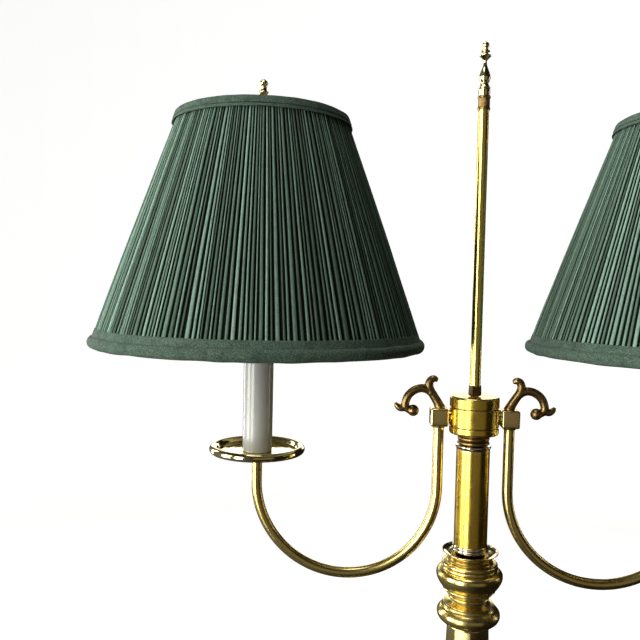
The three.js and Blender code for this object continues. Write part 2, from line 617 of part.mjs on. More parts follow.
// Cast scroll on top of the block: a stem that arches out to a curl, and a leaf that stands up.
function scroll() {
  const foot = -BLOCK_CENTRE_DROP + BLOCK_SIZE / 2 + SEAT_GAP;
  const radius = SCROLL_THICKNESS / 2;
  const root = at(armRootX - 1, 0, foot + 1.6);
  const along = (...points) => new THREE.CatmullRomCurve3(points, false, "centripetal");
  const local = (x, z) => at(armRootX + x, 0, foot + z);
  const stem = along(root, local(4.6, 10), local(9.9, 17), local(18.2, 19.9), local(26.5, 17.6),
    local(32.9, 11.7), local(35.8, 4.1), local(36.4, 0.6));
  const curl = along(local(36.4, 0.6), local(33.6, -2.4), local(28.4, -3));
  const tip = along(local(35.6, 1), local(41.6, -0.9), local(46.2, 3.4));
  const leaf = along(local(9.5, 17.5), local(11.6, 26), local(8.7, 31.6), local(3, 32));
  const limb = (curve, thickness, steps) => swept(curve, thickness, steps, 0, SCROLL_SIDES);
  const flat = disc(radius + 1, foot, foot + 3.2, SMALL_FACETS).translate(armRootX - 1, 0, 0);
  return join(
    limb(stem, radius, 11), limb(curl, radius - 0.4, 2), limb(tip, radius - 1.1, 4),
    limb(leaf, radius - 0.5, 6), flat,
    ball(4.7, local(28.2, -3)), ball(radius, local(36.4, 0.6)), ball(radius - 0.4, local(3, 32)),
    ball(radius - 1, local(46.2, 3.4)),
  );
}

function dripDish() {
  const floor = -DISH_RIM_DROP - DISH_DEPTH;
  const rimCentre = DISH_RADIUS - DISH_RIM_RADIUS;
  const under = floor - DISH_THICKNESS;
  return turned([
    [armBore, under - DISH_HUB_HEIGHT], [DISH_HUB_RADIUS, under - DISH_HUB_HEIGHT],
    [DISH_HUB_RADIUS + 2, under], [rimCentre - 4, under + 0.6],
    ...arc(rimCentre, -DISH_RIM_DROP, DISH_RIM_RADIUS, DISH_RIM_RADIUS, -90, 160, 5),
    [rimCentre - 6, floor], [armBore, floor], [armBore, under - DISH_HUB_HEIGHT],
  ]);
}

function harpSaddle() {
  const plate = new THREE.BoxGeometry(SADDLE_WIDTH, 2 * SADDLE_HALF_SPAN, SADDLE_THICKNESS)
    .translate(0, 0, saddleFoot + SADDLE_THICKNESS / 2);
  const posts = [-1, 1].map((side) => disc(SADDLE_POST_RADIUS, saddleFoot, postHead, SMALL_FACETS)
    .translate(0, side * (SADDLE_HALF_SPAN - SADDLE_POST_RADIUS), 0));
  return cut(join(plate, ...posts), disc(armBore, saddleFoot - 1, postHead, SMALL_FACETS));
}

function harp() {
  const foot = postHead + SEAT_GAP;
  const apex = shadeSeat - HARP_SEAT_THICKNESS - HARP_WIRE_RADIUS;
  const rise = apex - foot;
  const end = SADDLE_HALF_SPAN - SADDLE_POST_RADIUS;
  const half = [[end, 0], [end, 0.05], [end + 12, 0.16], [HARP_HALF_WIDTH - 3, 0.3],
    [HARP_HALF_WIDTH, 0.48],
    [HARP_HALF_WIDTH - 8, 0.7], [HARP_HALF_WIDTH - 27, 0.9], [9, 0.99]];
  const points = [
    ...half.map(([y, share]) => at(0, -y, foot + share * rise)),
    at(0, 0, apex),
    ...half.toReversed().map(([y, share]) => at(0, y, foot + share * rise)),
  ];
  const bow = swept(new THREE.CatmullRomCurve3(points, false, "centripetal"), HARP_WIRE_RADIUS, 26,
    0, SCROLL_SIDES);
  return join(bow,
    disc(HARP_SEAT_RADIUS, apex, shadeSeat, SMALL_FACETS),
    disc(HARP_STUD_RADIUS, apex, shadeSeat + HARP_STUD_LENGTH, SMALL_FACETS));
}

function lampSocket() {
  const inner = SOCKET_RADIUS - SOCKET_WALL;
  const top = socketFoot + SOCKET_HEIGHT;
  const floor = socketFoot + SOCKET_FLOOR;
  return turned([
    [armBore, socketFoot], [9, socketFoot], [9, socketFoot + 4],
    [SOCKET_RADIUS - 2, socketFoot + 10], [SOCKET_RADIUS, socketFoot + 15],
    [SOCKET_RADIUS, top], [inner, top], [inner, floor], [armBore, floor], [armBore, socketFoot],
  ]);
}

function bulb() {
  const foot = socketFoot + SOCKET_FLOOR + SEAT_GAP;
  const top = foot + BULB_HEIGHT;
  const waist = socketFoot + SOCKET_HEIGHT + 2;
  const centre = top - BULB_RADIUS;
  return turned([[0, foot], [BULB_BASE_RADIUS - 4, foot], [BULB_BASE_RADIUS, foot + 4],
    [BULB_BASE_RADIUS, waist], [BULB_BASE_RADIUS + 2, waist + 6],
    ...arc(0, centre, BULB_RADIUS, BULB_RADIUS, -48, 90, 6)], ROUND_FACETS);
}

function switchKey() {
  const height = socketFoot + SWITCH_HEIGHT;
  const start = SOCKET_RADIUS + SEAT_GAP;
  const stem = straightBar(at(start, 0, height), at(start + SWITCH_STEM_LENGTH, 0, height),
    SWITCH_STEM_RADIUS);
  const key = new THREE.CylinderGeometry(SWITCH_KEY_LENGTH / 2, SWITCH_KEY_LENGTH / 2,
    SWITCH_KEY_THICKNESS, 12);
  key.scale(0.55, 1, 1).translate(start + SWITCH_STEM_LENGTH, 0, height);
  return join(stem, key);
}

// A knurled foot, an urn, a cup and a small pointed head, one above the other.
function shadeFinial() {
  const foot = shadeSeat + SEAT_GAP + HUB_THICKNESS + SEAT_GAP;
  const h = SHADE_FINIAL_HEIGHT;
  const widest = SHADE_FINIAL_RADIUS;
  const outline = [
    [0, 0], [0.94 * widest, 0], [0.94 * widest, 0.17 * h], [0.55 * widest, 0.205 * h],
    [0.55 * widest, 0.24 * h], [0.9 * widest, 0.32 * h], [0.92 * widest, 0.4 * h],
    [0.45 * widest, 0.55 * h], [0.45 * widest, 0.6 * h], [widest, 0.68 * h], [widest, 0.72 * h],
    [0.59 * widest, 0.79 * h], [0.59 * widest, 0.83 * h], [0.85 * widest, 0.895 * h],
    [0.7 * widest, 0.935 * h], [0.34 * widest, 0.985 * h], [0, h],
  ];
  const seat = disc(HARP_STUD_RADIUS + SEAT_GAP, -1,
    HARP_STUD_LENGTH - HUB_THICKNESS - SEAT_GAP, SMALL_FACETS);
  return cut(turned(outline, SMALL_FACETS), seat).translate(0, 0, foot);
}

// ---------------------------------------------------------------- shade

// Radius of the shade's outermost surface at a height.
function shadeRadius(height) {
  const share = (height - shadeFoot) / SHADE_HEIGHT;
  return SHADE_BOTTOM_RADIUS + share * (SHADE_TOP_RADIUS - SHADE_BOTTOM_RADIUS);
}

// A conical band between two depths under that surface.
function shadeBand(foot, top, outerDepth, innerDepth) {
  return turned([
    [shadeRadius(foot) - outerDepth, foot], [shadeRadius(top) - outerDepth, top],
    [shadeRadius(top) - innerDepth, top], [shadeRadius(foot) - innerDepth, foot],
    [shadeRadius(foot) - outerDepth, foot],
  ], WIDE_FACETS);
}

const coverDepth = TRIM_THICKNESS + SEAT_GAP;
const frameDepth = coverDepth + COVER_THICKNESS + SEAT_GAP + 1.2;

function wireRing(radius, height) {
  const section = arc(radius, height, FRAME_WIRE_RADIUS, FRAME_WIRE_RADIUS, 0, 360, WIRE_SIDES);
  return turned(section, WIDE_FACETS);
}

// Hub, spokes, two rings and the ribs between them.
function shadeFrame() {
  const hubFoot = shadeSeat + SEAT_GAP;
  const ringTop = shadeTop - 4;
  const ringFoot = shadeFoot + 4;
  const wireAt = (height) => shadeRadius(height) - frameDepth - FRAME_WIRE_RADIUS;
  const around = (count, make) => Array.from({ length: count }, (_, i) =>
    make().rotateZ((2 * Math.PI * (i + 0.25)) / count));
  const spoke = () => straightBar(at(HUB_RADIUS - 3, 0, hubFoot + HUB_THICKNESS / 2),
    at(wireAt(ringTop), 0, ringTop), FRAME_WIRE_RADIUS - 0.3, WIRE_SIDES);
  const rib = () => straightBar(at(wireAt(ringFoot), 0, ringFoot), at(wireAt(ringTop), 0, ringTop),
    FRAME_WIRE_RADIUS - 0.3, WIRE_SIDES);
  return join(
    ring(HARP_STUD_RADIUS + SEAT_GAP, HUB_RADIUS, hubFoot, hubFoot + HUB_THICKNESS, SMALL_FACETS),
    wireRing(wireAt(ringTop), ringTop), wireRing(wireAt(ringFoot), ringFoot),
    ...around(FRAME_SPOKES, spoke), ...around(FRAME_RIBS, rib),
  );
}

function buildArm(head, side, turn) {
  const arm = new THREE.Group();
  arm.rotation.z = turn;
  head.add(arm);
  arm.add(
    piece(`arm_block_${side}`, armBlock(), antiqueBrass),
    piece(`scroll_${side}`, scroll(), bronze),
    piece(`arm_tube_${side}`, armTube(), antiqueBrass),
  );
  const candle = new THREE.Group();
  candle.position.x = ARM_REACH;
  arm.add(candle);
  candle.add(
    piece(`drip_dish_${side}`, dripDish(), polishedBrass),
    piece(`candle_sleeve_${side}`, ring(SLEEVE_RADIUS - SLEEVE_WALL, SLEEVE_RADIUS, sleeveFoot,
      sleeveHead), candleCard),
    piece(`harp_saddle_${side}`, harpSaddle(), polishedBrass),
    piece(`harp_${side}`, harp(), polishedBrass),
    piece(`lamp_socket_${side}`, lampSocket(), polishedBrass),
    piece(`bulb_${side}`, bulb(), opalGlass),
    piece(`switch_key_${side}`, switchKey(), blackPlastic),
    piece(`shade_finial_${side}`, shadeFinial(), polishedBrass),
    piece(`shade_frame_${side}`, shadeFrame(), polishedBrass),
    piece(`shade_cover_${side}`, shadeBand(shadeFoot, shadeTop, coverDepth,
      coverDepth + COVER_THICKNESS), greenCloth),
    piece(`shade_top_trim_${side}`, shadeBand(shadeTop - TOP_TRIM_HEIGHT, shadeTop, 0,
      TRIM_THICKNESS), greenTape),
    piece(`shade_bottom_trim_${side}`, shadeBand(shadeFoot, shadeFoot + BOTTOM_TRIM_HEIGHT, 0,
      TRIM_THICKNESS), greenTape),
  );
}

// ---------------------------------------------------------------- the lamp

const lamp = new THREE.Group();
const levels = buildColumn(lamp);
const headLevel = levels.top + SWIVEL_BOSS_HEIGHT - clusterFoot;
buildColumnFittings(lamp, levels, headLevel);
const head = new THREE.Group();
head.position.z = headLevel;
lamp.add(head);
buildCluster(head);
buildArm(head, "right", 0);
buildArm(head, "left", Math.PI);

export default lamp;
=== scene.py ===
"""Two-arm floor lamp in antique brass, with candle arms and pleated green shades, on a pale studio floor."""

import json
import logging
import math
import random
from dataclasses import dataclass, field
from enum import Enum
from itertools import pairwise
from statistics import fmean
from typing import Any, Sequence

import bmesh
import bpy
from mathutils import Matrix, Vector, noise


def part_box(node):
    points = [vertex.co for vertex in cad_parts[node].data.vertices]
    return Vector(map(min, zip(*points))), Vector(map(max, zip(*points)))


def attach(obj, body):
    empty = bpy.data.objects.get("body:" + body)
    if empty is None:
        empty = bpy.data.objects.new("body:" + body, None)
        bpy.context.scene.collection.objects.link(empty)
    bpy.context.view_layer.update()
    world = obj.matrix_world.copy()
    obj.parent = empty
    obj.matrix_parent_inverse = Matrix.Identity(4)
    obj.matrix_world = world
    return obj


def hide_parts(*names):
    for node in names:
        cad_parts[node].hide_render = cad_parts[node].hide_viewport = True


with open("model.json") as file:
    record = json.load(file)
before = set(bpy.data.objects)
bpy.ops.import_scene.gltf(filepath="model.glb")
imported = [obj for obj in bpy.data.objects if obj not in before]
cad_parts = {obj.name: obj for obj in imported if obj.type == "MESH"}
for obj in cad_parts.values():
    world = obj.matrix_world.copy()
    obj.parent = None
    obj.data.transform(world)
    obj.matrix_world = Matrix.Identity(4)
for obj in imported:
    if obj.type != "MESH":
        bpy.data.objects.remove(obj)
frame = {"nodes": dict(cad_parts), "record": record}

LOG = logging.getLogger("floor_lamp")
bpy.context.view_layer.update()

Colour = tuple[float, float, float]
Point = tuple[float, float]
# A limb of a scroll: its middle line, out and up from the scroll's root, and its radii from end to end.
Limb = tuple[tuple[Point, ...], tuple[float, ...]]

PIPE_ROOM = 0.0053  # radius of the hole that the threaded pipe passes through


# ---------------------------------------------------------------- shaders


class Value:
    """A node's output, with arithmetic that adds Math nodes."""

    def __init__(self, recipe: "Recipe", socket: bpy.types.NodeSocket) -> None:
        """Keeps the socket and the recipe it belongs to."""
        self.recipe = recipe
        self.socket = socket

    def _math(self, operation: str, first: Any, second: Any) -> "Value":
        """Adds a Math node.

        Args:
            operation: The node's operation.
            first: Its first input, a number or a Value.
            second: Its second input.

        Returns:
            The node's result.
        """
        return self.recipe.node("ShaderNodeMath", {"operation": operation}, {0: first, 1: second})

    def __add__(self, other: Any) -> "Value":
        """Self plus other."""
        return self._math("ADD", self, other)

    def __sub__(self, other: Any) -> "Value":
        """Self minus other."""
        return self._math("SUBTRACT", self, other)

    def __rsub__(self, other: Any) -> "Value":
        """Other minus self."""
        return self._math("SUBTRACT", other, self)

    def __mul__(self, other: Any) -> "Value":
        """Self times other."""
        return self._math("MULTIPLY", self, other)

    __radd__ = __add__
    __rmul__ = __mul__

    def fade(self, low: float, high: float) -> "Value":
        """A smooth step of the value.

        Args:
            low: The value that gives 0.
            high: The value that gives 1.

        Returns:
            The step, from 0 to 1.
        """
        return self.recipe.node(
            "ShaderNodeMapRange",
            {"interpolation_type": "SMOOTHSTEP"},
            {"Value": self, "From Min": low, "From Max": high},
        )


class Recipe:
    """The node tree of a material or of the world."""

    def __init__(self, owner: bpy.types.Material | bpy.types.World) -> None:
        """Empties the owner's node tree and keeps it."""
        owner.use_nodes = True
        self.owner = owner
        self.tree = owner.node_tree
        self.tree.nodes.clear()

    def node(self, kind: str, settings: dict[str, Any], inputs: dict[Any, Any], output: Any = 0) -> Value:
        """Adds a node.

        Args:
            kind: The node's type.
            settings: Its properties, set first.
            inputs: Values or links by socket name or number.
            output: The output's name or number.

        Returns:
            The chosen output.
        """
        made = self.tree.nodes.new(kind)
        for key, value in settings.items():
            setattr(made, key, value)
        for key, value in inputs.items():
            if isinstance(value, Value):
                self.tree.links.new(value.socket, made.inputs[key])
            else:
                made.inputs[key].default_value = value
        return Value(self, made.outputs[output])

    def place(self, stretch: Sequence[float] = (1.0, 1.0, 1.0)) -> Value:
        """Object coordinates in metres, each axis multiplied by its stretch."""
        spot = self.node("ShaderNodeTexCoord", {}, {}, "Object")
        return self.node("ShaderNodeMapping", {}, {"Vector": spot, "Scale": stretch})

    def attribute(self, name: str) -> Value:
        """A float attribute of the mesh, 0 where the mesh has none."""
        return self.node("ShaderNodeAttribute", {"attribute_name": name}, {}, "Fac")

    def noise(self, scale: float, detail: float = 3.0, stretch: Sequence[float] = (1, 1, 1)) -> Value:
        """Cloudy noise around 0.5.

        Args:
            scale: Blobs per metre.
            detail: Octaves.
            stretch: How much faster it changes along each axis.

        Returns:
            The noise.
        """
        return self.node(
            "ShaderNodeTexNoise", {}, {"Vector": self.place(stretch), "Scale": scale, "Detail": detail}
        )

    def mix(self, share: Any, first: Any, second: Any, blend: str = "MIX") -> Value:
        """Mixes two colours.

        Args:
            share: How much of the second.
            first: A colour or a Value.
            second: A colour or a Value.
            blend: The Mix node's blend type.

        Returns:
            The colour.
        """
        ends = [(*c, 1.0) if isinstance(c, tuple) else c for c in (first, second)]
        settings = {"data_type": "RGBA", "blend_type": blend}
        return self.node("ShaderNodeMix", settings, {0: share, 6: ends[0], 7: ends[1]}, 2)

    def bump(self, height: Value, depth: float) -> Value:
        """A normal from a height that runs from 0 to 1 over a depth in metres."""
        return self.node("ShaderNodeBump", {}, {"Height": height, "Distance": depth}, "Normal")

    def surface(self, **inputs: Any) -> bpy.types.Material:
        """Ends the material with a Principled shader.

        Args:
            **inputs: Its sockets, with underscores for spaces.

        Returns:
            The material.
        """
        named = {
            key.replace("_", " "): (*value, 1.0) if isinstance(value, tuple) and len(value) == 3 else value
            for key, value in inputs.items()
        }
        shader = self.node("ShaderNodeBsdfPrincipled", {}, named, "BSDF")
        self.end("ShaderNodeOutputMaterial", shader)
        return self.owner

    def end(self, kind: str, shader: Value) -> None:
        """Links a shader to an output node of that kind."""
        output = self.tree.nodes.new(kind)
        self.tree.links.new(shader.socket, output.inputs["Surface"])


@dataclass(frozen=True)
class Metal:
    """Brass, bronze or steel, darker and duller in hollows, brighter along edges."""

    tone: Colour
    aged: Colour
    bright: Colour
    roughness: float
    hollow_depth: float = 0.85  # how far the hollows darken
    mottle: float = 0.5  # how much of the aged tone clouds the plain surface
    lines: float = 0.00002  # depth of the fine lathe or brush lines

    def material(self, name: str) -> bpy.types.Material:
        """The node material.

        Args:
            name: The material's name.

        Returns:
            The material.
        """
        r = Recipe(bpy.data.materials.new(name))
        hollow = r.attribute("hollow")
        clouds = r.noise(38.0, 5.0).fade(0.42, 0.68)
        specks = r.noise(900.0, 2.0).fade(0.62, 0.74)
        lathe = r.noise(3.0, 4.0, (14.0, 14.0, 420.0))
        tarnish = hollow.fade(0.06, 0.75) * self.hollow_depth
        rubbed = (hollow * -1.0).fade(0.10, 0.8)
        plain = r.mix(clouds * self.mottle, self.tone, self.aged)
        streaked = r.mix(lathe.fade(0.35, 0.7) * 0.28, plain, self.aged)
        dark = tuple(0.16 * c for c in self.aged)
        worn = r.mix(tarnish, streaked, dark)
        colour = r.mix(rubbed * 0.4, r.mix(specks * 0.35, worn, dark), self.bright)
        dull = clouds * 0.07 + lathe * 0.06 + tarnish * 0.25 + (self.roughness - 0.05)
        height = lathe * 0.8 + specks * -0.4
        return r.surface(
            Base_Color=colour,
            Metallic=1.0,
            Roughness=dull,
            Normal=r.bump(height, self.lines),
        )


@dataclass(frozen=True)
class Plain:
    """Plastic, card, glass or iron: one colour with a faint cloud, grain and a bump."""

    tone: Colour
    aged: Colour
    roughness: float
    grain: float = 600.0  # grains per metre
    depth: float = 0.00003
    coat: float = 0.0
    metallic: float = 0.0
    subsurface: float = 0.0

    def material(self, name: str) -> bpy.types.Material:
        """The node material.

        Args:
            name: The material's name.

        Returns:
            The material.
        """
        r = Recipe(bpy.data.materials.new(name))
        clouds = r.noise(24.0, 4.0).fade(0.35, 0.75)
        grains = r.noise(self.grain, 3.0)
        hollow = r.attribute("hollow").fade(0.08, 0.9)
        colour = r.mix(hollow * 0.55, r.mix(clouds * 0.6, self.tone, self.aged), self.aged)
        return r.surface(
            Base_Color=colour,
            Metallic=self.metallic,
            Roughness=clouds * 0.08 + grains * 0.06 + self.roughness,
            Normal=r.bump(grains, self.depth),
            Coat_Weight=self.coat,
            Coat_Roughness=0.08,
            Subsurface_Weight=self.subsurface,
            Subsurface_Scale=0.004,
        )


@dataclass(frozen=True)
class Pleats:
    """Gathered cotton: a painted highlight on the crests and painted shade in the folds, each pleat a little
    different.
    """

    # The first tone paints a highlight on the crests. The second paints shade in the folds and also darkens
    # the threads. The third is a paler painted highlight that some crests get at random.
    crest: Colour
    fold: Colour
    faded: Colour

    def material(self, name: str) -> bpy.types.Material:
        """The node material.

        Args:
            name: The material's name.

        Returns:
            The material.
        """
        r = Recipe(bpy.data.materials.new(name))
        height = r.attribute("crest")
        shade = r.attribute("tint")
        threads = r.noise(1500.0, 2.0, (1.0, 1.0, 0.35))
        slubs = r.noise(60.0, 3.0, (6.0, 6.0, 1.0))
        # Colour by height in the pleat: a painted highlight on the crests, paler on some pleats at random,
        # and painted shade in the folds. Threads and slubs darken towards the fold tone.
        face = r.mix(shade, self.crest, self.faded)
        painted_light_and_shade = r.mix(height.fade(0.55, 0.88), self.fold, face)
        colour = r.mix(threads.fade(0.4, 0.7) * 0.30 + slubs.fade(0.4, 0.7) * 0.15, painted_light_and_shade, self.fold)
        return r.surface(
            Base_Color=colour,
            Roughness=threads * 0.1 + 0.72,
            Normal=r.bump(threads * 0.7 + slubs * 0.3, 0.00012),
            Specular_IOR_Level=0.04,
            Sheen_Weight=0.03,
            Sheen_Roughness=0.5,
        )


@dataclass(frozen=True)
class Tape:
    """Bias tape in the shade's cotton: a close twill with a faint fleck, and painted shade darkening its
    creases.
    """

    tone: Colour
    fleck: Colour
    # A dark tone for the cloth's mottle and for the painted shade in the creases.
    crease: Colour

    def material(self, name: str) -> bpy.types.Material:
        """The node material.

        Args:
            name: The material's name.

        Returns:
            The material.
        """
        r = Recipe(bpy.data.materials.new(name))
        weave = r.noise(900.0, 3.0)
        mottle = r.noise(110.0, 4.0)
        # Hollows of the tape, where its colour is darkened towards the dark tone as painted shade in the
        # creases.
        hollow = r.attribute("hollow").fade(0.05, 0.5)
        flecked = r.mix(weave.fade(0.40, 0.66), self.tone, self.fleck)
        clouded = r.mix(mottle.fade(0.45, 0.75) * 0.4, flecked, self.crease)
        return r.surface(
            Base_Color=r.mix(hollow * 0.8, clouded, self.crease),
            Roughness=weave * 0.1 + 0.78,
            Normal=r.bump(weave * 0.6 + mottle * 0.4, 0.00012),
            Specular_IOR_Level=0.08,
            Sheen_Weight=0.06,
            Sheen_Roughness=0.5,
        )


class Finish(Enum):
    """The finishes of the lamp, named after the record's material slots."""

    ANTIQUE_BRASS = Metal(
        (0.84, 0.67, 0.24), (0.54, 0.40, 0.11), (0.98, 0.88, 0.52), 0.24,
        hollow_depth=0.95, mottle=0.45, lines=6e-6,
    )
    TUBE_BRASS = Metal(
        (0.87, 0.62, 0.11), (0.60, 0.39, 0.05), (0.98, 0.84, 0.40), 0.25,
        hollow_depth=0.95, mottle=0.40, lines=5e-6,
    )
    GILT_ROD = Metal(
        (0.93, 0.72, 0.20), (0.72, 0.50, 0.09), (0.98, 0.87, 0.46), 0.20,
        hollow_depth=0.90, mottle=0.30, lines=3e-6,
    )
    POLISHED_BRASS = Metal(
        (0.92, 0.78, 0.40), (0.78, 0.60, 0.24), (0.99, 0.91, 0.62), 0.09,
        hollow_depth=0.85, mottle=0.20, lines=8e-6,
    )
    DARK_BRONZE = Metal(
        (0.30, 0.195, 0.07), (0.13, 0.08, 0.028), (0.56, 0.40, 0.16), 0.33,
        hollow_depth=0.90, mottle=0.60, lines=5e-5,
    )
    DARK_NUT = Metal(
        (0.10, 0.055, 0.022), (0.045, 0.026, 0.012), (0.30, 0.20, 0.09), 0.38,
        hollow_depth=0.8, mottle=0.6, lines=5e-5,
    )
    BRIGHT_RING = Metal(
        (0.84, 0.79, 0.62), (0.60, 0.52, 0.34), (0.97, 0.95, 0.88), 0.10,
        hollow_depth=0.85, mottle=0.30, lines=8e-6,
    )
    STEEL = Metal((0.52, 0.52, 0.51), (0.30, 0.29, 0.28), (0.75, 0.75, 0.74), 0.36)
    IRON = Plain((0.05, 0.05, 0.05), (0.09, 0.06, 0.04), 0.62, grain=400.0, depth=0.0004, metallic=0.6)
    FELT = Plain((0.02, 0.07, 0.04), (0.03, 0.05, 0.035), 0.88, grain=1500.0, depth=0.0006)
    BLACK_PLASTIC = Plain((0.012, 0.012, 0.012), (0.03, 0.03, 0.03), 0.30)
    CANDLE_SLEEVE = Plain(
        (0.50, 0.52, 0.50), (0.46, 0.46, 0.41), 0.16, grain=90.0, depth=0.0001, coat=0.5, subsurface=0.1
    )
    BULB_GLASS = Plain(
        (0.86, 0.85, 0.80), (0.80, 0.79, 0.73), 0.12, grain=50.0, depth=0.00002, coat=1.0, subsurface=0.3
    )
    PLEATED_CLOTH = Pleats((0.080, 0.128, 0.094), (0.0055, 0.0100, 0.0068), (0.300, 0.470, 0.375))
    TRIM_CLOTH = Tape((0.050, 0.084, 0.061), (0.125, 0.186, 0.146), (0.013, 0.027, 0.018))
    LINING = Plain((0.62, 0.60, 0.52), (0.52, 0.49, 0.41), 0.7, 900.0, 0.0001)

    @property
    def slot(self) -> str:
        """The record's material slot: the finish's own, but for three that go with another finish."""
        shared = {
            Finish.LINING: Finish.TRIM_CLOTH,
            Finish.GILT_ROD: Finish.POLISHED_BRASS,
            Finish.TUBE_BRASS: Finish.ANTIQUE_BRASS,
        }
        return shared.get(self, self).name.lower()

    @property
    def material(self) -> bpy.types.Material:
        """The finish's material, made when it is first asked for."""
        label = f"{self.name.lower()}_finish"
        return bpy.data.materials.get(label) or self.value.material(label)


# ---------------------------------------------------------------- shaping


class Side(Enum):
    """The lamp's two arms."""

    RIGHT = "right"
    LEFT = "left"

    @property
    def turn(self) -> Matrix:
        """Turns a piece drawn on the right-hand arm to this arm."""
        return Matrix.Rotation(math.pi if self is Side.LEFT else 0.0, 4, "Z")


@dataclass(frozen=True)
class Span:
    """The room a CAD node takes."""

    low: Vector
    high: Vector

    @property
    def foot(self) -> float:
        """Height of its lowest point."""
        return self.low.z

    @property
    def head(self) -> float:
        """Height of its highest point."""
        return self.high.z

    @property
    def height(self) -> float:
        """Its height."""
        return self.high.z - self.low.z

    @property
    def radius(self) -> float:
        """Half its width along X."""
        return (self.high.x - self.low.x) / 2

    @property
    def centre(self) -> Vector:
        """The middle of its box."""
        return (self.low + self.high) / 2


def span(node: str) -> Span:
    """The room of a CAD node."""
    return Span(*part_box(node))


def curve_point(knots: Sequence[Vector], t: float) -> Vector:
    """A point on the smooth curve through four knots.

    Args:
        knots: The four knots.
        t: How far the point is from the second knot to the third, from 0 to 1.

    Returns:
        The point.
    """
    before, a, b, after = knots
    bend = a * 2 + (b - before) * t + (before * 2 - a * 5 + b * 4 - after) * t**2
    return (bend + (a * 3 - before - b * 3 + after) * t**3) / 2


class Outline:
    """The half section of a turned piece, as points of radius and height."""

    def __init__(self, *points: Point) -> None:
        """Starts with those points."""
        self.points: list[Point] = list(points)

    def to(self, *points: Point) -> "Outline":
        """Adds straight lines to those points."""
        self.points.extend(points)
        return self

    def arc(self, centre: Point, size: Point, start: float, end: float, steps: int = 8) -> "Outline":
        """Adds part of an ellipse.

        Args:
            centre: Its centre.
            size: Its half width and half height.
            start: First angle in degrees from the outward direction.
            end: Last angle.
            steps: Segments.

        Returns:
            The outline.
        """
        for i in range(steps + 1):
            angle = math.radians(start + (end - start) * i / steps)
            self.points.append((centre[0] + size[0] * math.cos(angle), centre[1] + size[1] * math.sin(angle)))
        return self

    def flow(self, *points: Point, steps: int = 5) -> "Outline":
        """Adds a smooth curve from the last point through the given ones.

        Args:
            points: The points it passes.
            steps: Segments between two of them.

        Returns:
            The outline.
        """
        knots = [Vector(k) for k in (self.points[-1], self.points[-1], *points, points[-1])]
        for i in range(len(knots) - 3):
            for k in range(1, steps + 1):
                spot = curve_point(knots[i : i + 4], k / steps)
                self.points.append((spot.x, spot.y))
        return self

    def lifted(self, height: float) -> "Outline":
        """The same outline, higher."""
        return Outline(*[(r, z + height) for r, z in self.points])

    def softened(self, radius: float, closed: bool) -> "Outline":
        """The outline with its sharp corners rounded.

        Args:
            radius: How far from a corner the rounding starts.
            closed: Whether the last point joins the first.

        Returns:
            A new outline.
        """
        spots = [Vector(p) for p in self.points]
        made: list[Point] = []
        for i, spot in enumerate(spots):
            at_end = not closed and i in (0, len(spots) - 1)
            before, after = spots[i - 1] - spot, spots[(i + 1) % len(spots)] - spot
            small = min(before.length, after.length) < 1e-7
            if at_end or small or before.angle(after) > math.radians(150):
                made.append((spot.x, spot.y))
                continue
            start = spot + before.normalized() * min(radius, 0.45 * before.length)
            end = spot + after.normalized() * min(radius, 0.45 * after.length)
            for t in (0.0, 0.33, 0.67, 1.0):
                bend = start * (1 - t) ** 2 + spot * 2 * t * (1 - t) + end * t**2
                made.append((bend.x, bend.y))
        return Outline(*made)

    def fine(self, longest: float, closed: bool) -> "Outline":
        """The outline with its long lines divided.

        Args:
            longest: The longest line left.
            closed: Whether the last point joins the first.

        Returns:
            A new outline.
        """
        ring = [*self.points, self.points[0]] if closed else self.points
        made: list[Point] = []
        for a, b in pairwise(ring):
            parts = max(1, math.ceil(math.dist(a, b) / longest))
            for k in range(parts):
                made.append((a[0] + (b[0] - a[0]) * k / parts, a[1] + (b[1] - a[1]) * k / parts))
        return Outline(*made) if closed else Outline(*made, self.points[-1])


def smooth_path(knots: Sequence[Vector], steps: int) -> list[Vector]:
    """A smooth curve through points.

    Args:
        knots: The points.
        steps: Segments between two of them.

    Returns:
        Points along the curve, the first and last knot included.
    """
    padded = [knots[0] * 2 - knots[1], *knots, knots[-1] * 2 - knots[-2]]
    made = [knots[0].copy()]
    for i in range(len(padded) - 3):
        made.extend(curve_point(padded[i : i + 4], k / steps) for k in range(1, steps + 1))
    return made


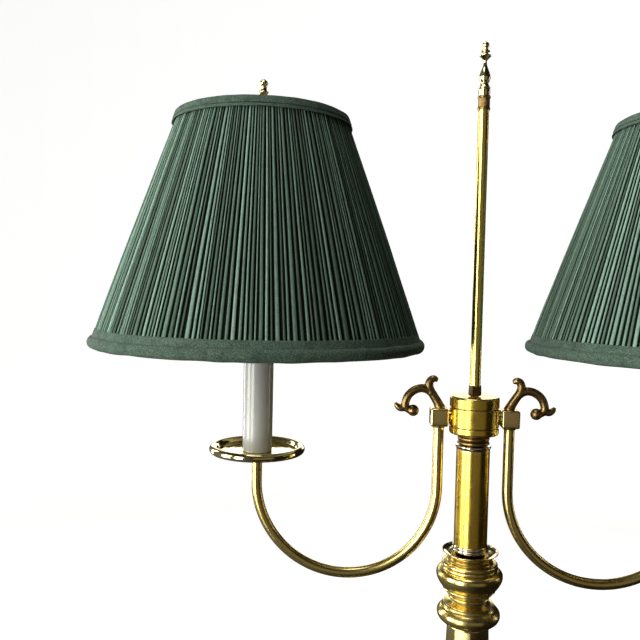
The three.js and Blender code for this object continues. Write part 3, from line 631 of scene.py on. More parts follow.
class Form:
    """A bench for shaping one piece, which ends as an object that rides on a body."""

    def __init__(self) -> None:
        """Starts with nothing on the bench."""
        self.bm = bmesh.new()

    def _add(self, part: bmesh.types.BMesh) -> "Form":
        """Puts a finished part on the bench.

        Args:
            part: The part, which is used up.

        Returns:
            The form.
        """
        bmesh.ops.remove_doubles(part, verts=part.verts, dist=1e-6)
        bmesh.ops.dissolve_degenerate(part, dist=1e-6, edges=part.edges)
        bmesh.ops.recalc_face_normals(part, faces=part.faces)
        carried = bpy.data.meshes.new("part")
        part.to_mesh(carried)
        part.free()
        self.bm.from_mesh(carried)
        bpy.data.meshes.remove(carried)
        return self

    def take(self, other: "Form") -> "Form":
        """Puts what is on another bench on this one."""
        return self._add(other.bm)

    def turn(self, outline: Outline, steps: int = 72, bored: bool = True, soft: float = 0.0004,
             axis: Point = (0.0, 0.0), longest: float = 0.004) -> "Form":
        """Adds a turned piece.

        Args:
            outline: Its half section, closed if it is bored, else from axis to axis.
            steps: Facets round it.
            bored: Whether the section closes on itself.
            soft: Rounding of its corners.
            axis: Where its axis stands, in X and Y.
            longest: The longest line of the section.

        Returns:
            The form.
        """
        part = bmesh.new()
        drawn = outline.softened(soft, bored).fine(longest, bored)
        verts = [part.verts.new((r, 0.0, z)) for r, z in drawn.points]
        pairs = list(pairwise(verts)) + ([(verts[-1], verts[0])] if bored else [])
        edges = [part.edges.new(pair) for pair in pairs]
        bmesh.ops.spin(
            part, geom=verts + edges, cent=(0, 0, 0), axis=(0, 0, 1), angle=2 * math.pi, steps=steps,
            use_merge=True,
        )
        bmesh.ops.translate(part, verts=part.verts, vec=(axis[0], axis[1], 0))
        return self._add(part)

    def sweep(self, path: Sequence[Vector], radius: float | Sequence[float], sides: int = 20) -> "Form":
        """Adds a round bar along a path.

        Args:
            path: Points down its middle.
            radius: Its radius, or one for each point.
            sides: Sides of its section.

        Returns:
            The form.
        """
        part = bmesh.new()
        radii = [radius] * len(path) if isinstance(radius, float) else radius
        start = (path[1] - path[0]).normalized()
        across = Vector((0, 1, 0)) if abs(start.y) < 0.9 else Vector((1, 0, 0))
        rings = []
        for i, spot in enumerate(path):
            ahead = (path[min(i + 1, len(path) - 1)] - path[max(i - 1, 0)]).normalized()
            across = (across - ahead * across.dot(ahead)).normalized()
            turned = Matrix((across, ahead.cross(across), ahead)).transposed().to_4x4()
            ring = bmesh.ops.create_circle(part, segments=sides, radius=radii[i],
                                           matrix=Matrix.Translation(spot) @ turned)
            rings.append(list(dict.fromkeys(e for v in ring["verts"] for e in v.link_edges)))
        for a, b in pairwise(rings):
            bmesh.ops.bridge_loops(part, edges=a + b)
        for end in (rings[0], rings[-1]):
            bmesh.ops.contextual_create(part, geom=end)
        return self._add(part)

    def block(self, size: Sequence[float], centre: Sequence[float], bevel: float) -> "Form":
        """Adds a block with rounded edges.

        Args:
            size: Its three sides.
            centre: Its middle.
            bevel: Width of the rounding.

        Returns:
            The form.
        """
        part = bmesh.new()
        bmesh.ops.create_cube(part, size=1.0)
        bmesh.ops.scale(part, vec=size, verts=part.verts)
        bmesh.ops.bevel(
            part, geom=part.edges[:], offset=bevel, affect="EDGES", segments=4, profile=0.5, material=-1
        )
        bmesh.ops.translate(part, vec=centre, verts=part.verts)
        return self._add(part)

    def ball(self, radius: float, centre: Vector) -> "Form":
        """Adds a ball."""
        part = bmesh.new()
        place = Matrix.Translation(centre)
        bmesh.ops.create_uvsphere(part, u_segments=24, v_segments=14, radius=radius, matrix=place)
        return self._add(part)

    def fused(self, voxel: float) -> "Form":
        """Melts everything on the bench into one cast skin.

        Args:
            voxel: The finest detail that is kept.

        Returns:
            The form.
        """
        rough = bpy.data.meshes.new("rough")
        self.bm.to_mesh(rough)
        obj = bpy.data.objects.new("rough", rough)
        bpy.context.scene.collection.objects.link(obj)
        melt = obj.modifiers.new("melt", "REMESH")
        melt.mode = "VOXEL"
        melt.voxel_size = voxel
        ease = obj.modifiers.new("ease", "SMOOTH")
        ease.factor = 0.5
        ease.iterations = 3
        cast = bpy.data.meshes.new_from_object(obj.evaluated_get(bpy.context.evaluated_depsgraph_get()))
        bpy.data.objects.remove(obj)
        self.bm.clear()
        self.bm.from_mesh(cast)
        bpy.data.meshes.remove(cast)
        return self

    def pucker(self, amount: float, scale: float) -> "Form":
        """Moves the surface in and out a little, as cloth puckers.

        Args:
            amount: How far it moves at most, in metres.
            scale: Puckers per metre.

        Returns:
            The form.
        """
        self.bm.normal_update()
        moved = {v: v.normal * amount * noise.noise(v.co * scale) for v in self.bm.verts}
        for v, shift in moved.items():
            v.co += shift
        return self

    def move(self, matrix: Matrix) -> "Form":
        """Moves everything on the bench."""
        bmesh.ops.transform(self.bm, matrix=matrix, verts=self.bm.verts)
        return self

    def _mark_hollows(self) -> None:
        """Stores how hollow each point is: 1 in a tight hollow, -1 on a sharp edge."""
        self.bm.normal_update()
        layer = self.bm.verts.layers.float.new("hollow")
        reach = 0.005  # radius of curvature that counts as tight
        shortest = 0.0002  # shorter edges count as this long
        bends = {}
        for v in self.bm.verts:
            leans = [
                (e.other_vert(v).co - v.co).dot(v.normal) / max(e.calc_length(), shortest) ** 2
                for e in v.link_edges
            ]
            bends[v] = max(-1.0, min(1.0, reach * fmean(leans))) if leans else 0.0
        for _ in range(2):
            around = {v: [bends[e.other_vert(v)] for e in v.link_edges] for v in self.bm.verts}
            bends = {v: 0.5 * bends[v] + 0.5 * fmean(near) if near else 0.0 for v, near in around.items()}
        for v, bend in bends.items():
            v[layer] = bend

    def piece(self, name: str, body: str, finish: Finish, *nodes: str,
              crease: float = 38.0) -> bpy.types.Object:
        """Turns the form into a piece of the lamp.

        Args:
            name: The piece's name.
            body: The body it rides on.
            finish: Its finish.
            nodes: The CAD nodes it stands for.
            crease: Edges sharper than this many degrees stay crisp.

        Returns:
            The piece.
        """
        bmesh.ops.recalc_face_normals(self.bm, faces=self.bm.faces)
        self._mark_hollows()
        mesh = bpy.data.meshes.new(name)
        self.bm.to_mesh(mesh)
        self.bm.free()
        mesh.polygons.foreach_set("use_smooth", [True] * len(mesh.polygons))
        mesh.set_sharp_from_angle(angle=math.radians(crease))
        return dress(bpy.data.objects.new(name, mesh), body, finish, *nodes)


def dress(obj: bpy.types.Object, body: str, finish: Finish, *nodes: str) -> bpy.types.Object:
    """Puts a new object in the scene as a piece of the lamp.

    Args:
        obj: The object, at the origin.
        body: The body it rides on.
        finish: Its finish.
        nodes: The CAD nodes it stands for.

    Returns:
        The object.
    """
    bpy.context.scene.collection.objects.link(obj)
    obj.data.materials.clear()
    obj.data.materials.append(finish.material)
    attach(obj, body)
    if nodes:
        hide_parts(*nodes)
    LOG.info("%s on %s in %s", obj.name, body, finish.slot)
    return obj


# ---------------------------------------------------------------- base


@dataclass
class Base:
    """The spun base with its collar; its weight, felt and fixings are the CAD's own."""

    plinth: float = 0.011  # straight edge at the foot
    wall: float = 0.0026
    bore: float = PIPE_ROOM
    top_radius: float = 0.050
    ledge: float = 0.009  # flat step above the plinth

    def _outside(self, inset: float) -> list[Point]:
        """The shell's outline from its edge to its top.

        Args:
            inset: Distance inside the outer surface.

        Returns:
            Points of radius and height.
        """
        room = span("base_shell")
        edge, top, step = room.radius - inset, room.height - inset, self.plinth - inset
        line = Outline((edge, 0.0), (edge, step), (edge - 0.003, step + 0.003))
        line.to((edge - self.ledge, step + 0.003))
        shoulder = edge - 0.012
        line.flow(
            (shoulder, step + 0.006), (shoulder - 0.020, step + 0.0105), (0.088, step + 0.0165),
            (0.068, step + 0.026), (0.0575, top - 0.009), (self.top_radius + 0.003 - inset, top - 0.003),
            (self.top_radius - inset, top),
        )
        return line.points

    def build(self) -> None:
        """Makes the shell and the collar, and dresses the CAD pieces under them."""
        room = span("base_shell")
        inner = self._outside(self.wall)
        shell = Outline(*self._outside(0.0), (self.bore, room.height), (self.bore, room.height - self.wall))
        shell.to(*reversed(inner))
        Form().turn(shell.lifted(room.foot), 128, soft=0.0008).piece(
            "spun_base", "root", Finish.ANTIQUE_BRASS, "base_shell"
        )
        collar = span("base_collar")
        edge, high = collar.radius, collar.height
        ring = Outline((self.bore, 0.0), (edge - 0.001, 0.0))
        ring.arc((edge - 0.0022, 0.0023), (0.0022, 0.0022), -80, 90, 8)
        ring.to((edge - 0.0040, 0.0048)).flow((edge - 0.0052, 0.0066), (edge - 0.0042, 0.0088), steps=6)
        ring.to((edge - 0.0030, 0.0092)).arc((edge - 0.0030, high - 0.0024), (0.0024, 0.0024), -85, 90, 8)
        ring.to((self.bore, high))
        Form().turn(ring.lifted(collar.foot), 96).piece(
            "base_ring", "root", Finish.ANTIQUE_BRASS, "base_collar"
        )


# ---------------------------------------------------------------- column


@dataclass
class Column:
    """The octagonal shafts, the turned joints between them, and the stem."""

    bore: float = PIPE_ROOM
    shaft_wall: float = 0.0022
    flare: float = 0.052  # height over which the lower shaft spreads at its foot
    lower_waist: float = 0.034
    lower_head: float = 0.026
    upper_head: float = 0.0224
    shaft_edge: float = 0.0009  # rounding of the shafts' long edges
    plate_dip: float = 0.0021  # depth of the plate's floor under its rim
    stem_wall: float = 0.0015

    def _shaft(self, name: str, node: str, sections: list[Point]) -> None:
        """Makes a tapered octagonal tube.

        Args:
            name: The piece's name.
            node: The CAD node it stands for.
            sections: Corner radius and height, from the foot up.
        """
        room = span(node)
        form = Form()
        inside = [(r - self.shaft_wall, z) for r, z in reversed(sections)]
        form.turn(Outline(*sections, *inside).lifted(room.foot), 8, soft=0.0, longest=0.006)
        corner = math.radians(30)
        rising = [e for e in form.bm.edges if abs(e.verts[0].co.z - e.verts[1].co.z) > 1e-5]
        long_edges = [e for e in rising if e.calc_face_angle_signed(0.0) > corner]
        bmesh.ops.bevel(form.bm, geom=long_edges, offset=self.shaft_edge, affect="EDGES", segments=2,
                        profile=0.5, material=-1)
        form.piece(name, "root", Finish.ANTIQUE_BRASS, node, crease=20.0)

    def _shafts(self) -> None:
        """Makes both shafts."""
        low, high = span("lower_octagonal_shaft"), span("upper_octagonal_shaft")
        spread = low.radius - self.lower_waist
        steps = (0, 0.15, 0.3, 0.5, 0.75, 1)
        curve = [(self.lower_waist + spread * (1 - t) ** 2.2, self.flare * t) for t in steps]
        self._shaft("lower_shaft", "lower_octagonal_shaft", [*curve, (self.lower_head, low.height)])
        foot = high.radius
        shoulder = self.upper_head + 0.36 * (foot - self.upper_head)
        self._shaft("upper_shaft", "upper_octagonal_shaft",
                    [(foot, 0.0), (shoulder, 0.8 * high.height), (self.upper_head, high.height)])

    def _high_knob(self, name: str, node: str, foot: float, head: float) -> None:
        """Makes a round-bellied knob with a bead at its foot and a ring round its head.

        Args:
            name: The piece's name.
            node: The CAD node it stands for.
            foot: Radius at its foot.
            head: Radius at its head.
        """
        room = span(node)
        wide, h = room.radius, room.height
        swell = wide - foot
        line = Outline((self.bore, 0.0), (foot - 0.0004, 0.0))
        line.arc((foot - 0.0002, 0.0011), (0.0011, 0.0010), -85, 85, 6)
        line.to((foot - 0.0002, 0.0023)).flow(
            (foot + 0.26 * swell, 0.145 * h), (foot + 0.53 * swell, 0.25 * h),
            (foot + 0.79 * swell, 0.39 * h), (foot + 0.95 * swell, 0.52 * h),
            (wide, 0.64 * h), (foot + 0.93 * swell, 0.745 * h),
            (foot + 0.70 * swell, 0.825 * h), (foot + 0.42 * swell, 0.865 * h), steps=6,
        )
        line.to((head - 0.0012, 0.872 * h)).arc((head - 0.0010, 0.935 * h), (0.0012, 0.0014), -80, 80, 8)
        line.to((head - 0.0012, h), (self.bore, h))
        Form().turn(line.lifted(room.foot), 128, longest=0.002).piece(
            name, "root", Finish.ANTIQUE_BRASS, node
        )

    def _low_knob(self, name: str, node: str, foot: float, head: float) -> None:
        """Makes a knob like a lid: a full underside, a rounded lip and a slope with a step up to the neck.

        Args:
            name: The piece's name.
            node: The CAD node it stands for.
            foot: Radius at its foot.
            head: Radius at its head.
        """
        room = span(node)
        wide, h = room.radius, room.height
        swell = wide - foot
        line = Outline((self.bore, 0.0), (foot - 0.0012, 0.0))
        line.arc((foot - 0.0006, 0.0012), (0.0011, 0.0011), -80, 80, 6)
        line.to((foot - 0.0004, 0.0026)).flow(
            (foot + 0.42 * swell, 0.185 * h), (foot + 0.77 * swell, 0.30 * h),
            (foot + 0.95 * swell, 0.42 * h), (wide, 0.54 * h),
            (foot + 0.95 * swell, 0.66 * h), (foot + 0.80 * swell, 0.745 * h), steps=6,
        )
        line.to((head + 0.0024, 0.835 * h), (head + 0.0014, 0.850 * h)).flow(
            (head + 0.0004, 0.90 * h), (head - 0.0002, 0.96 * h), (head - 0.0002, h), steps=4
        )
        Form().turn(line.to((self.bore, h)).lifted(room.foot), 128, longest=0.002).piece(
            name, "root", Finish.ANTIQUE_BRASS, node
        )

    def _neck(self, name: str, node: str, waist: float) -> None:
        """Makes a neck, narrow above its foot, with a bead round it and a flare under the knob it carries.

        Args:
            name: The piece's name.
            node: The CAD node it stands for.
            waist: Its narrowest radius.
        """
        room = span(node)
        end, h = room.radius, room.height
        line = Outline((self.bore, 0.0), (end, 0.0), (end, 0.0007)).flow(
            (waist + 0.0034, 0.11 * h), (waist + 0.0009, 0.20 * h), (waist, 0.30 * h),
            (waist + 0.0006, 0.42 * h), steps=6,
        )
        line.arc((waist + 0.0016, 0.50 * h), (0.0013, 0.0010), -75, 75, 7).to((waist + 0.0016, 0.585 * h))
        line.flow((waist + 0.0044, 0.74 * h), (waist + 0.0066, 0.88 * h), (end - 0.0003, h), steps=6)
        Form().turn(line.to((self.bore, h)).lifted(room.foot), 128, longest=0.0015).piece(
            name, "root", Finish.ANTIQUE_BRASS, node
        )

    def _collar(self) -> None:
        """Makes the waisted collar on the high knob, with a ring at its foot."""
        collar = span("top_collar")
        edge, h = collar.radius, collar.height
        line = Outline((self.bore, 0.0), (edge + 0.0024, 0.0))
        line.arc((edge + 0.0022, 0.0020), (0.0022, 0.0019), -85, 85, 8)
        line.to((edge - 0.0006, 0.0042)).flow(
            (edge - 0.0022, 0.0056), (edge - 0.0024, 0.6 * h), (edge - 0.0014, h - 0.0018), (edge - 0.0002, h)
        )
        Form().turn(line.to((self.bore, h)).lifted(collar.foot), 128, longest=0.002).piece(
            "collar", "root", Finish.ANTIQUE_BRASS, "top_collar"
        )

    def _plate(self) -> None:
        """Makes the thin dished plate on the collar."""
        plate = span("check_plate")
        edge, h = plate.radius, plate.height
        dip = h - self.plate_dip
        line = Outline((self.bore, 0.0), (edge - 0.0066, 0.0)).flow(
            (edge - 0.0044, 0.0003), (edge - 0.0018, 0.0013), (edge - 0.0002, h - 0.0006), steps=6
        )
        line.arc((edge - 0.0006, h - 0.0005), (0.0006, 0.0005), -20, 160, 6)
        line.flow((edge - 0.0024, h - 0.0014), (edge - 0.0054, dip), (edge - 0.0088, dip), steps=6)
        line.to((self.bore, dip))
        Form().turn(line.lifted(plate.foot), 144, longest=0.001).piece(
            "dished_plate", "root", Finish.POLISHED_BRASS, "check_plate"
        )

    def _stem(self) -> None:
        """Makes the stem's tube, the bead round its foot and the flared ring on its head."""
        tube = span("stem_tube")
        inside = tube.radius - self.stem_wall
        wall = Outline((inside, 0.0), (tube.radius, 0.0), (tube.radius, tube.height), (inside, tube.height))
        Form().turn(wall.lifted(tube.foot), 128, soft=0.0003).piece(
            "stem", "root", Finish.TUBE_BRASS, "stem_tube"
        )
        bead = span("stem_foot_bead")
        inner, outer, h = tube.radius + 0.0002, bead.radius, bead.height
        line = Outline((inner, 0.0), (outer - 0.0006, 0.0))
        line.arc((outer - 0.0014, 0.0017), (0.0014, 0.0015), -80, 80, 8).to((outer - 0.0015, 0.0036))
        line.arc((inner + 0.0005, h - 0.0014), (0.0007, 0.0013), -60, 85, 6).to((inner, h))
        Form().turn(line.lifted(bead.foot), 144, soft=0.0002, longest=0.0012).piece(
            "stem_bead", "root", Finish.BRIGHT_RING, "stem_foot_bead"
        )
        top = span("stem_top_ring")
        edge, h = top.radius, top.height
        line = Outline((self.bore, 0.0), (tube.radius + 0.0002, 0.0))
        line.flow((edge - 0.0009, 0.0010), (edge - 0.0002, 0.0019))
        line.arc((edge - 0.0009, h - 0.0012), (0.0009, 0.0012), -20, 110, 7)
        line.to((edge - 0.0026, h - 0.0006), (self.bore, h))
        Form().turn(line.lifted(top.foot), 144, soft=0.0002, longest=0.0012).piece(
            "flared_ring", "root", Finish.BRIGHT_RING, "stem_top_ring"
        )

    def _lock_rings(self) -> None:
        """Makes the two rings that lock the swivel."""
        for name in ("lower", "upper"):
            ring = span(f"lock_ring_{name}")
            edge, h = ring.radius, ring.height
            line = Outline((self.bore, 0.0), (edge - 0.0016, 0.0))
            line.arc((edge - h / 2, h / 2), (h / 2, h / 2), -75, 75, 10)
            Form().turn(line.to((edge - 0.0016, h), (self.bore, h)).lifted(ring.foot), 80).piece(
                f"swivel_ring_{name}", "root", Finish.DARK_BRONZE, f"lock_ring_{name}"
            )

    def build(self) -> None:
        """Makes the column from the base collar to the swivel."""
        self._shafts()
        self._low_knob("middle_lid_knob", "middle_low_knob", self.lower_head + 0.0032, 0.0314)
        self._neck("middle_hollow_neck", "middle_neck", 0.023)
        self._high_knob("middle_bowl_knob", "middle_high_knob", 0.0314, 0.0342)
        self._low_knob("top_lid_knob", "top_low_knob", self.upper_head + 0.0016, 0.027)
        self._neck("top_hollow_neck", "top_neck", 0.0186)
        self._high_knob("top_bowl_knob", "top_high_knob", 0.027, 0.0294)
        self._collar()
        self._plate()
        self._stem()
        self._lock_rings()


# ---------------------------------------------------------------- cluster and centre rod


@dataclass
class Cluster:
    """The turning head: three round parts with joint lines, and the rod that stands on them."""

    bore: float = PIPE_ROOM
    cap_bore: float = 0.0043  # hole in the cap for the coupling's thread
    boss_radius: float = 0.011
    boss_height: float = 0.0023  # how far the foot's boss stands under the drum
    groove: float = 0.0013  # depth of a joint line
    ledge: float = 0.0005  # half its width
    rounding: float = 0.0024
    wall: float = 0.0045
    knurls: int = 36
    knurl_cut: float = 0.955  # radius in a knurl's cut, as a share of the collar's

    def _drum(self) -> None:
        """Makes the three round parts."""
        foot, body, cap = span("cluster_foot_cap"), span("cluster_body"), span("cluster_top_cap")
        edge, g, w, s = cap.radius, self.groove, self.ledge, self.rounding
        h, boss = foot.height, self.boss_height
        line = Outline((self.bore, 0.0), (self.boss_radius, 0.0), (self.boss_radius, boss), (edge - s, boss))
        line.arc((edge - s, boss + s), (s, s), -90, 0, 6)
        line.to((edge, h - w), (edge - g, h - w), (edge - g, h), (self.bore, h))
        Form().turn(line.lifted(foot.foot), 128, soft=0.0002, longest=0.0012).piece(
            "drum_foot", "cluster", Finish.TUBE_BRASS, "cluster_foot_cap"
        )
        h = body.height
        line = Outline((edge - self.wall, 0.0), (edge - g, 0.0), (edge - g, w), (edge, w), (edge, h - w),
                       (edge - g, h - w), (edge - g, h), (edge - self.wall, h))
        Form().turn(line.lifted(body.foot), 128, soft=0.0002, longest=0.0012).piece(
            "drum", "cluster", Finish.TUBE_BRASS, "cluster_body"
        )
        h = cap.height
        line = Outline((self.cap_bore, 0.0), (edge - g, 0.0), (edge - g, w), (edge, w))
        line.arc((edge - s, h - s), (s, s), 0, 90, 6)
        line.flow((edge - 0.008, h - 0.0002), (0.010, h - 0.0004)).to((self.cap_bore, h - 0.0004))
        Form().turn(line.lifted(cap.foot), 128, soft=0.0002, longest=0.0012).piece(
            "drum_cap", "cluster", Finish.TUBE_BRASS, "cluster_top_cap"
        )

    def _rod(self) -> None:
        """Makes the coupling, the rod and what is screwed on it."""
        nut, cap = span("rod_coupling"), span("cluster_top_cap")
        corner = nut.radius
        seat = cap.head + 0.0003
        tall = nut.head - seat
        hexagon = Outline((0.0, seat), (corner - 0.0010, seat), (corner, seat + 0.0012))
        hexagon.to((corner - 0.0004, seat + tall - 0.0022), (corner - 0.0018, nut.head), (0.0, nut.head))
        Form().turn(hexagon, 6, bored=False, soft=0.0).piece(
            "hex_coupling", "cluster", Finish.DARK_NUT, "rod_coupling", crease=25.0
        )
        rod, finial = span("centre_rod"), span("rod_finial")
        bar = Outline((0.0, rod.foot), (rod.radius, rod.foot), (rod.radius, finial.foot), (0.0, finial.foot))
        Form().turn(bar, 48, bored=False, longest=0.006).piece(
            "rod", "cluster", Finish.GILT_ROD, "centre_rod"
        )
        self._knurled_collar(rod.radius)
        self._finial(finial)

    def _knurled_collar(self, inner: float) -> None:
        """Makes the collar on the rod, knurled between its two edges.

        Args:
            inner: Radius of the rod it sits on.
        """
        collar = span("rod_collar")
        h, wide = collar.height, collar.radius
        low = [(wide - 0.0004, 0.0), (wide, 0.0008), (wide, 0.0018), (wide - 0.0006, 0.0023)]
        high = [(r, h - z) for r, z in reversed(low)]
        line = Outline((inner, 0.0), *low, *high, (inner, h))
        form = Form().turn(line.lifted(collar.foot), 2 * self.knurls, soft=0.0, longest=0.0012)
        edge = 0.0022  # height of each plain edge
        for v in form.bm.verts:
            step = round(math.atan2(v.co.y, v.co.x) / (math.pi / self.knurls))
            between = collar.foot + edge < v.co.z < collar.head - edge
            if between and step % 2 and math.hypot(v.co.x, v.co.y) > wide - 0.0010:
                v.co.x *= self.knurl_cut
                v.co.y *= self.knurl_cut
        form.piece("knurled_collar", "cluster", Finish.DARK_BRONZE, "rod_collar", crease=60.0)

    def _finial(self, room: Span) -> None:
        """Makes the urn, neck, cup and ball on top of the rod.

        Args:
            room: Where the finial stands.
        """
        w, h = room.radius, room.height
        ball = 0.62 * w
        line = Outline((0.0, 0.0), (w, 0.0), (w, 0.11 * h), (w - 0.0008, 0.125 * h)).arc(
            (w - 0.0008, 0.148 * h), (0.0009, 0.018 * h), -85, 85, 6
        )
        line.flow(
            (0.72 * w, 0.200 * h), (0.68 * w, 0.235 * h), (0.86 * w, 0.275 * h), (0.98 * w, 0.325 * h),
            (0.94 * w, 0.375 * h), (0.72 * w, 0.450 * h), (0.42 * w, 0.535 * h), (0.29 * w, 0.605 * h),
            (0.34 * w, 0.650 * h), (0.62 * w, 0.690 * h), (0.94 * w, 0.725 * h),
        )
        line.arc((0.93 * w, 0.738 * h), (0.07 * w, 0.012 * h), -70, 90, 5)
        line.to((0.60 * w, 0.758 * h)).flow((0.46 * w, 0.785 * h), (0.50 * w, 0.800 * h))
        line.arc((0.62 * w, 0.822 * h), (0.16 * w, 0.014 * h), -80, 90, 6).to((0.44 * w, 0.842 * h))
        line.arc((0.0, h - ball), (ball, ball), -42, 90, 10)
        line.points[-1] = (0.0, h)
        Form().turn(line.lifted(room.foot), 48, bored=False, soft=0.0002, longest=0.0015).piece(
            "urn_finial", "cluster", Finish.POLISHED_BRASS, "rod_finial"
        )

    def build(self) -> None:
        """Makes the head and its rod."""
        self._drum()
        self._rod()


# ---------------------------------------------------------------- arms


@dataclass
class Arm:
    """One arm: its block, the tube that hangs round in a half circle, and the cast scroll."""

    side: Side
    block_bevel: float = 0.0022
    neck_radius: float = 0.0070
    scroll_voxel: float = 0.0006
    scroll_stem: Limb = (
        ((-0.0010, -0.0005), (0.0012, 0.0042), (0.0046, 0.0100), (0.0099, 0.0170), (0.0182, 0.0199),
         (0.0265, 0.0176), (0.0329, 0.0117), (0.0358, 0.0041), (0.0352, -0.0002), (0.0320, -0.0034),
         (0.0284, -0.0036)),
        (0.0058, 0.0050, 0.0047, 0.0046, 0.0045, 0.0045, 0.0045, 0.0044, 0.0043, 0.0040, 0.0038),
    )
    scroll_tip: Limb = (
        ((0.0352, 0.0010), (0.0384, -0.0018), (0.0420, -0.0016), (0.0450, 0.0012), (0.0462, 0.0038)),
        (0.0039, 0.0038, 0.0036, 0.0029, 0.0015),
    )
    scroll_leaf: Limb = (
        ((0.0085, 0.0150), (0.0106, 0.0200), (0.0112, 0.0250), (0.0094, 0.0290), (0.0058, 0.0304),
         (0.0022, 0.0286)),
        (0.0050, 0.0047, 0.0044, 0.0042, 0.0038, 0.0020),
    )
    curl: Point = (0.0274, -0.0040)  # middle of the ball that ends the stem
    curl_radius: float = 0.0062

    def _block(self) -> None:
        """Makes the square block and its neck to the drum."""
        room, drum = span("arm_block_right"), span("cluster_body")
        size = room.high.y - room.low.y
        middle = Vector((room.high.x - size / 2, 0.0, room.centre.z))
        form = Form().block((size, size, room.height), middle, self.block_bevel)
        start = drum.radius - 0.0006
        end = middle.x - size / 2 + 0.001
        ring = Outline((0.0, start), (self.neck_radius, start), (self.neck_radius, end), (0.0, end))
        neck = Form().turn(ring, 40, bored=False, soft=0.0003)
        neck.move(Matrix.Translation((0.0, 0.0, middle.z)) @ Matrix.Rotation(math.pi / 2, 4, "Y"))
        form.take(neck)
        lip = Outline((0.0, -0.0018), (0.0066, -0.0018), (0.0074, 0.0004), (0.0, 0.0004)).lifted(room.foot)
        collar = Form().turn(lip, 40, bored=False, soft=0.0003, axis=(middle.x, 0.0))
        form.take(collar)
        form.move(self.side.turn).piece(
            f"square_block_{self.side.value}", "cluster", Finish.ANTIQUE_BRASS, f"arm_block_{self.side.value}"
        )

    def _tube(self) -> None:
        """Makes the arm's tube."""
        room, block, candle = span("arm_tube_right"), span("arm_block_right"), span("candle_sleeve_right")
        radius = (room.high.y - room.low.y) / 2
        near, far = room.low.x + radius, candle.centre.x
        bend = (far - near) / 2
        level = room.foot + radius + bend
        straight = (block.foot + 0.006, block.foot, block.foot - 0.004, level + 0.02)
        path = [Vector((near, 0.0, z)) for z in straight]
        steps = 56
        for i in range(steps + 1):
            angle = math.pi * (1 + i / steps)
            path.append(Vector((near + bend + bend * math.cos(angle), 0.0, level + bend * math.sin(angle))))
        path += [Vector((far, 0.0, z)) for z in (level + 0.03, span("drip_dish_right").foot, room.head)]
        Form().sweep(path, radius, 32).move(self.side.turn).piece(
            f"bent_arm_{self.side.value}", "cluster", Finish.ANTIQUE_BRASS, f"arm_tube_{self.side.value}"
        )

    def _swelling(self, radii: Sequence[float], count: int) -> list[float]:
        """Spreads radii evenly along a path.

        Args:
            radii: Radii at equal steps from end to end.
            count: Points of the path.

        Returns:
            A radius for each point.
        """
        spread = []
        for i in range(count):
            place = i / (count - 1) * (len(radii) - 1)
            k = min(int(place), len(radii) - 2)
            spread.append(radii[k] + (radii[k + 1] - radii[k]) * (place - k))
        return spread

    def _scroll(self) -> None:
        """Makes the cast scroll: a stem that arches out to a curl, and a leaf that stands up."""
        block = span("arm_block_right")
        root = Vector((block.high.x - (block.high.y - block.low.y) / 2, 0.0, block.head + 0.0002))
        form = Form()
        for knots, radii in (self.scroll_stem, self.scroll_tip, self.scroll_leaf):
            path = smooth_path([root + Vector((x, 0.0, z)) for x, z in knots], 6)
            form.sweep(path, self._swelling(radii, len(path)), 16)
        form.ball(self.curl_radius, root + Vector((self.curl[0], 0.0, self.curl[1])))
        plate = Outline((0.0, 0.0), (0.0056, 0.0), (0.0052, 0.0018), (0.0040, 0.0032), (0.0, 0.0032))
        form.take(Form().turn(plate.lifted(root.z), 32, bored=False, axis=(root.x - 0.001, 0.0)))
        form.fused(self.scroll_voxel).move(self.side.turn).piece(
            f"cast_scroll_{self.side.value}", "cluster", Finish.DARK_BRONZE, f"scroll_{self.side.value}"
        )

    def build(self) -> None:
        """Makes the arm."""
        self._block()
        self._tube()
        self._scroll()


# ---------------------------------------------------------------- candles


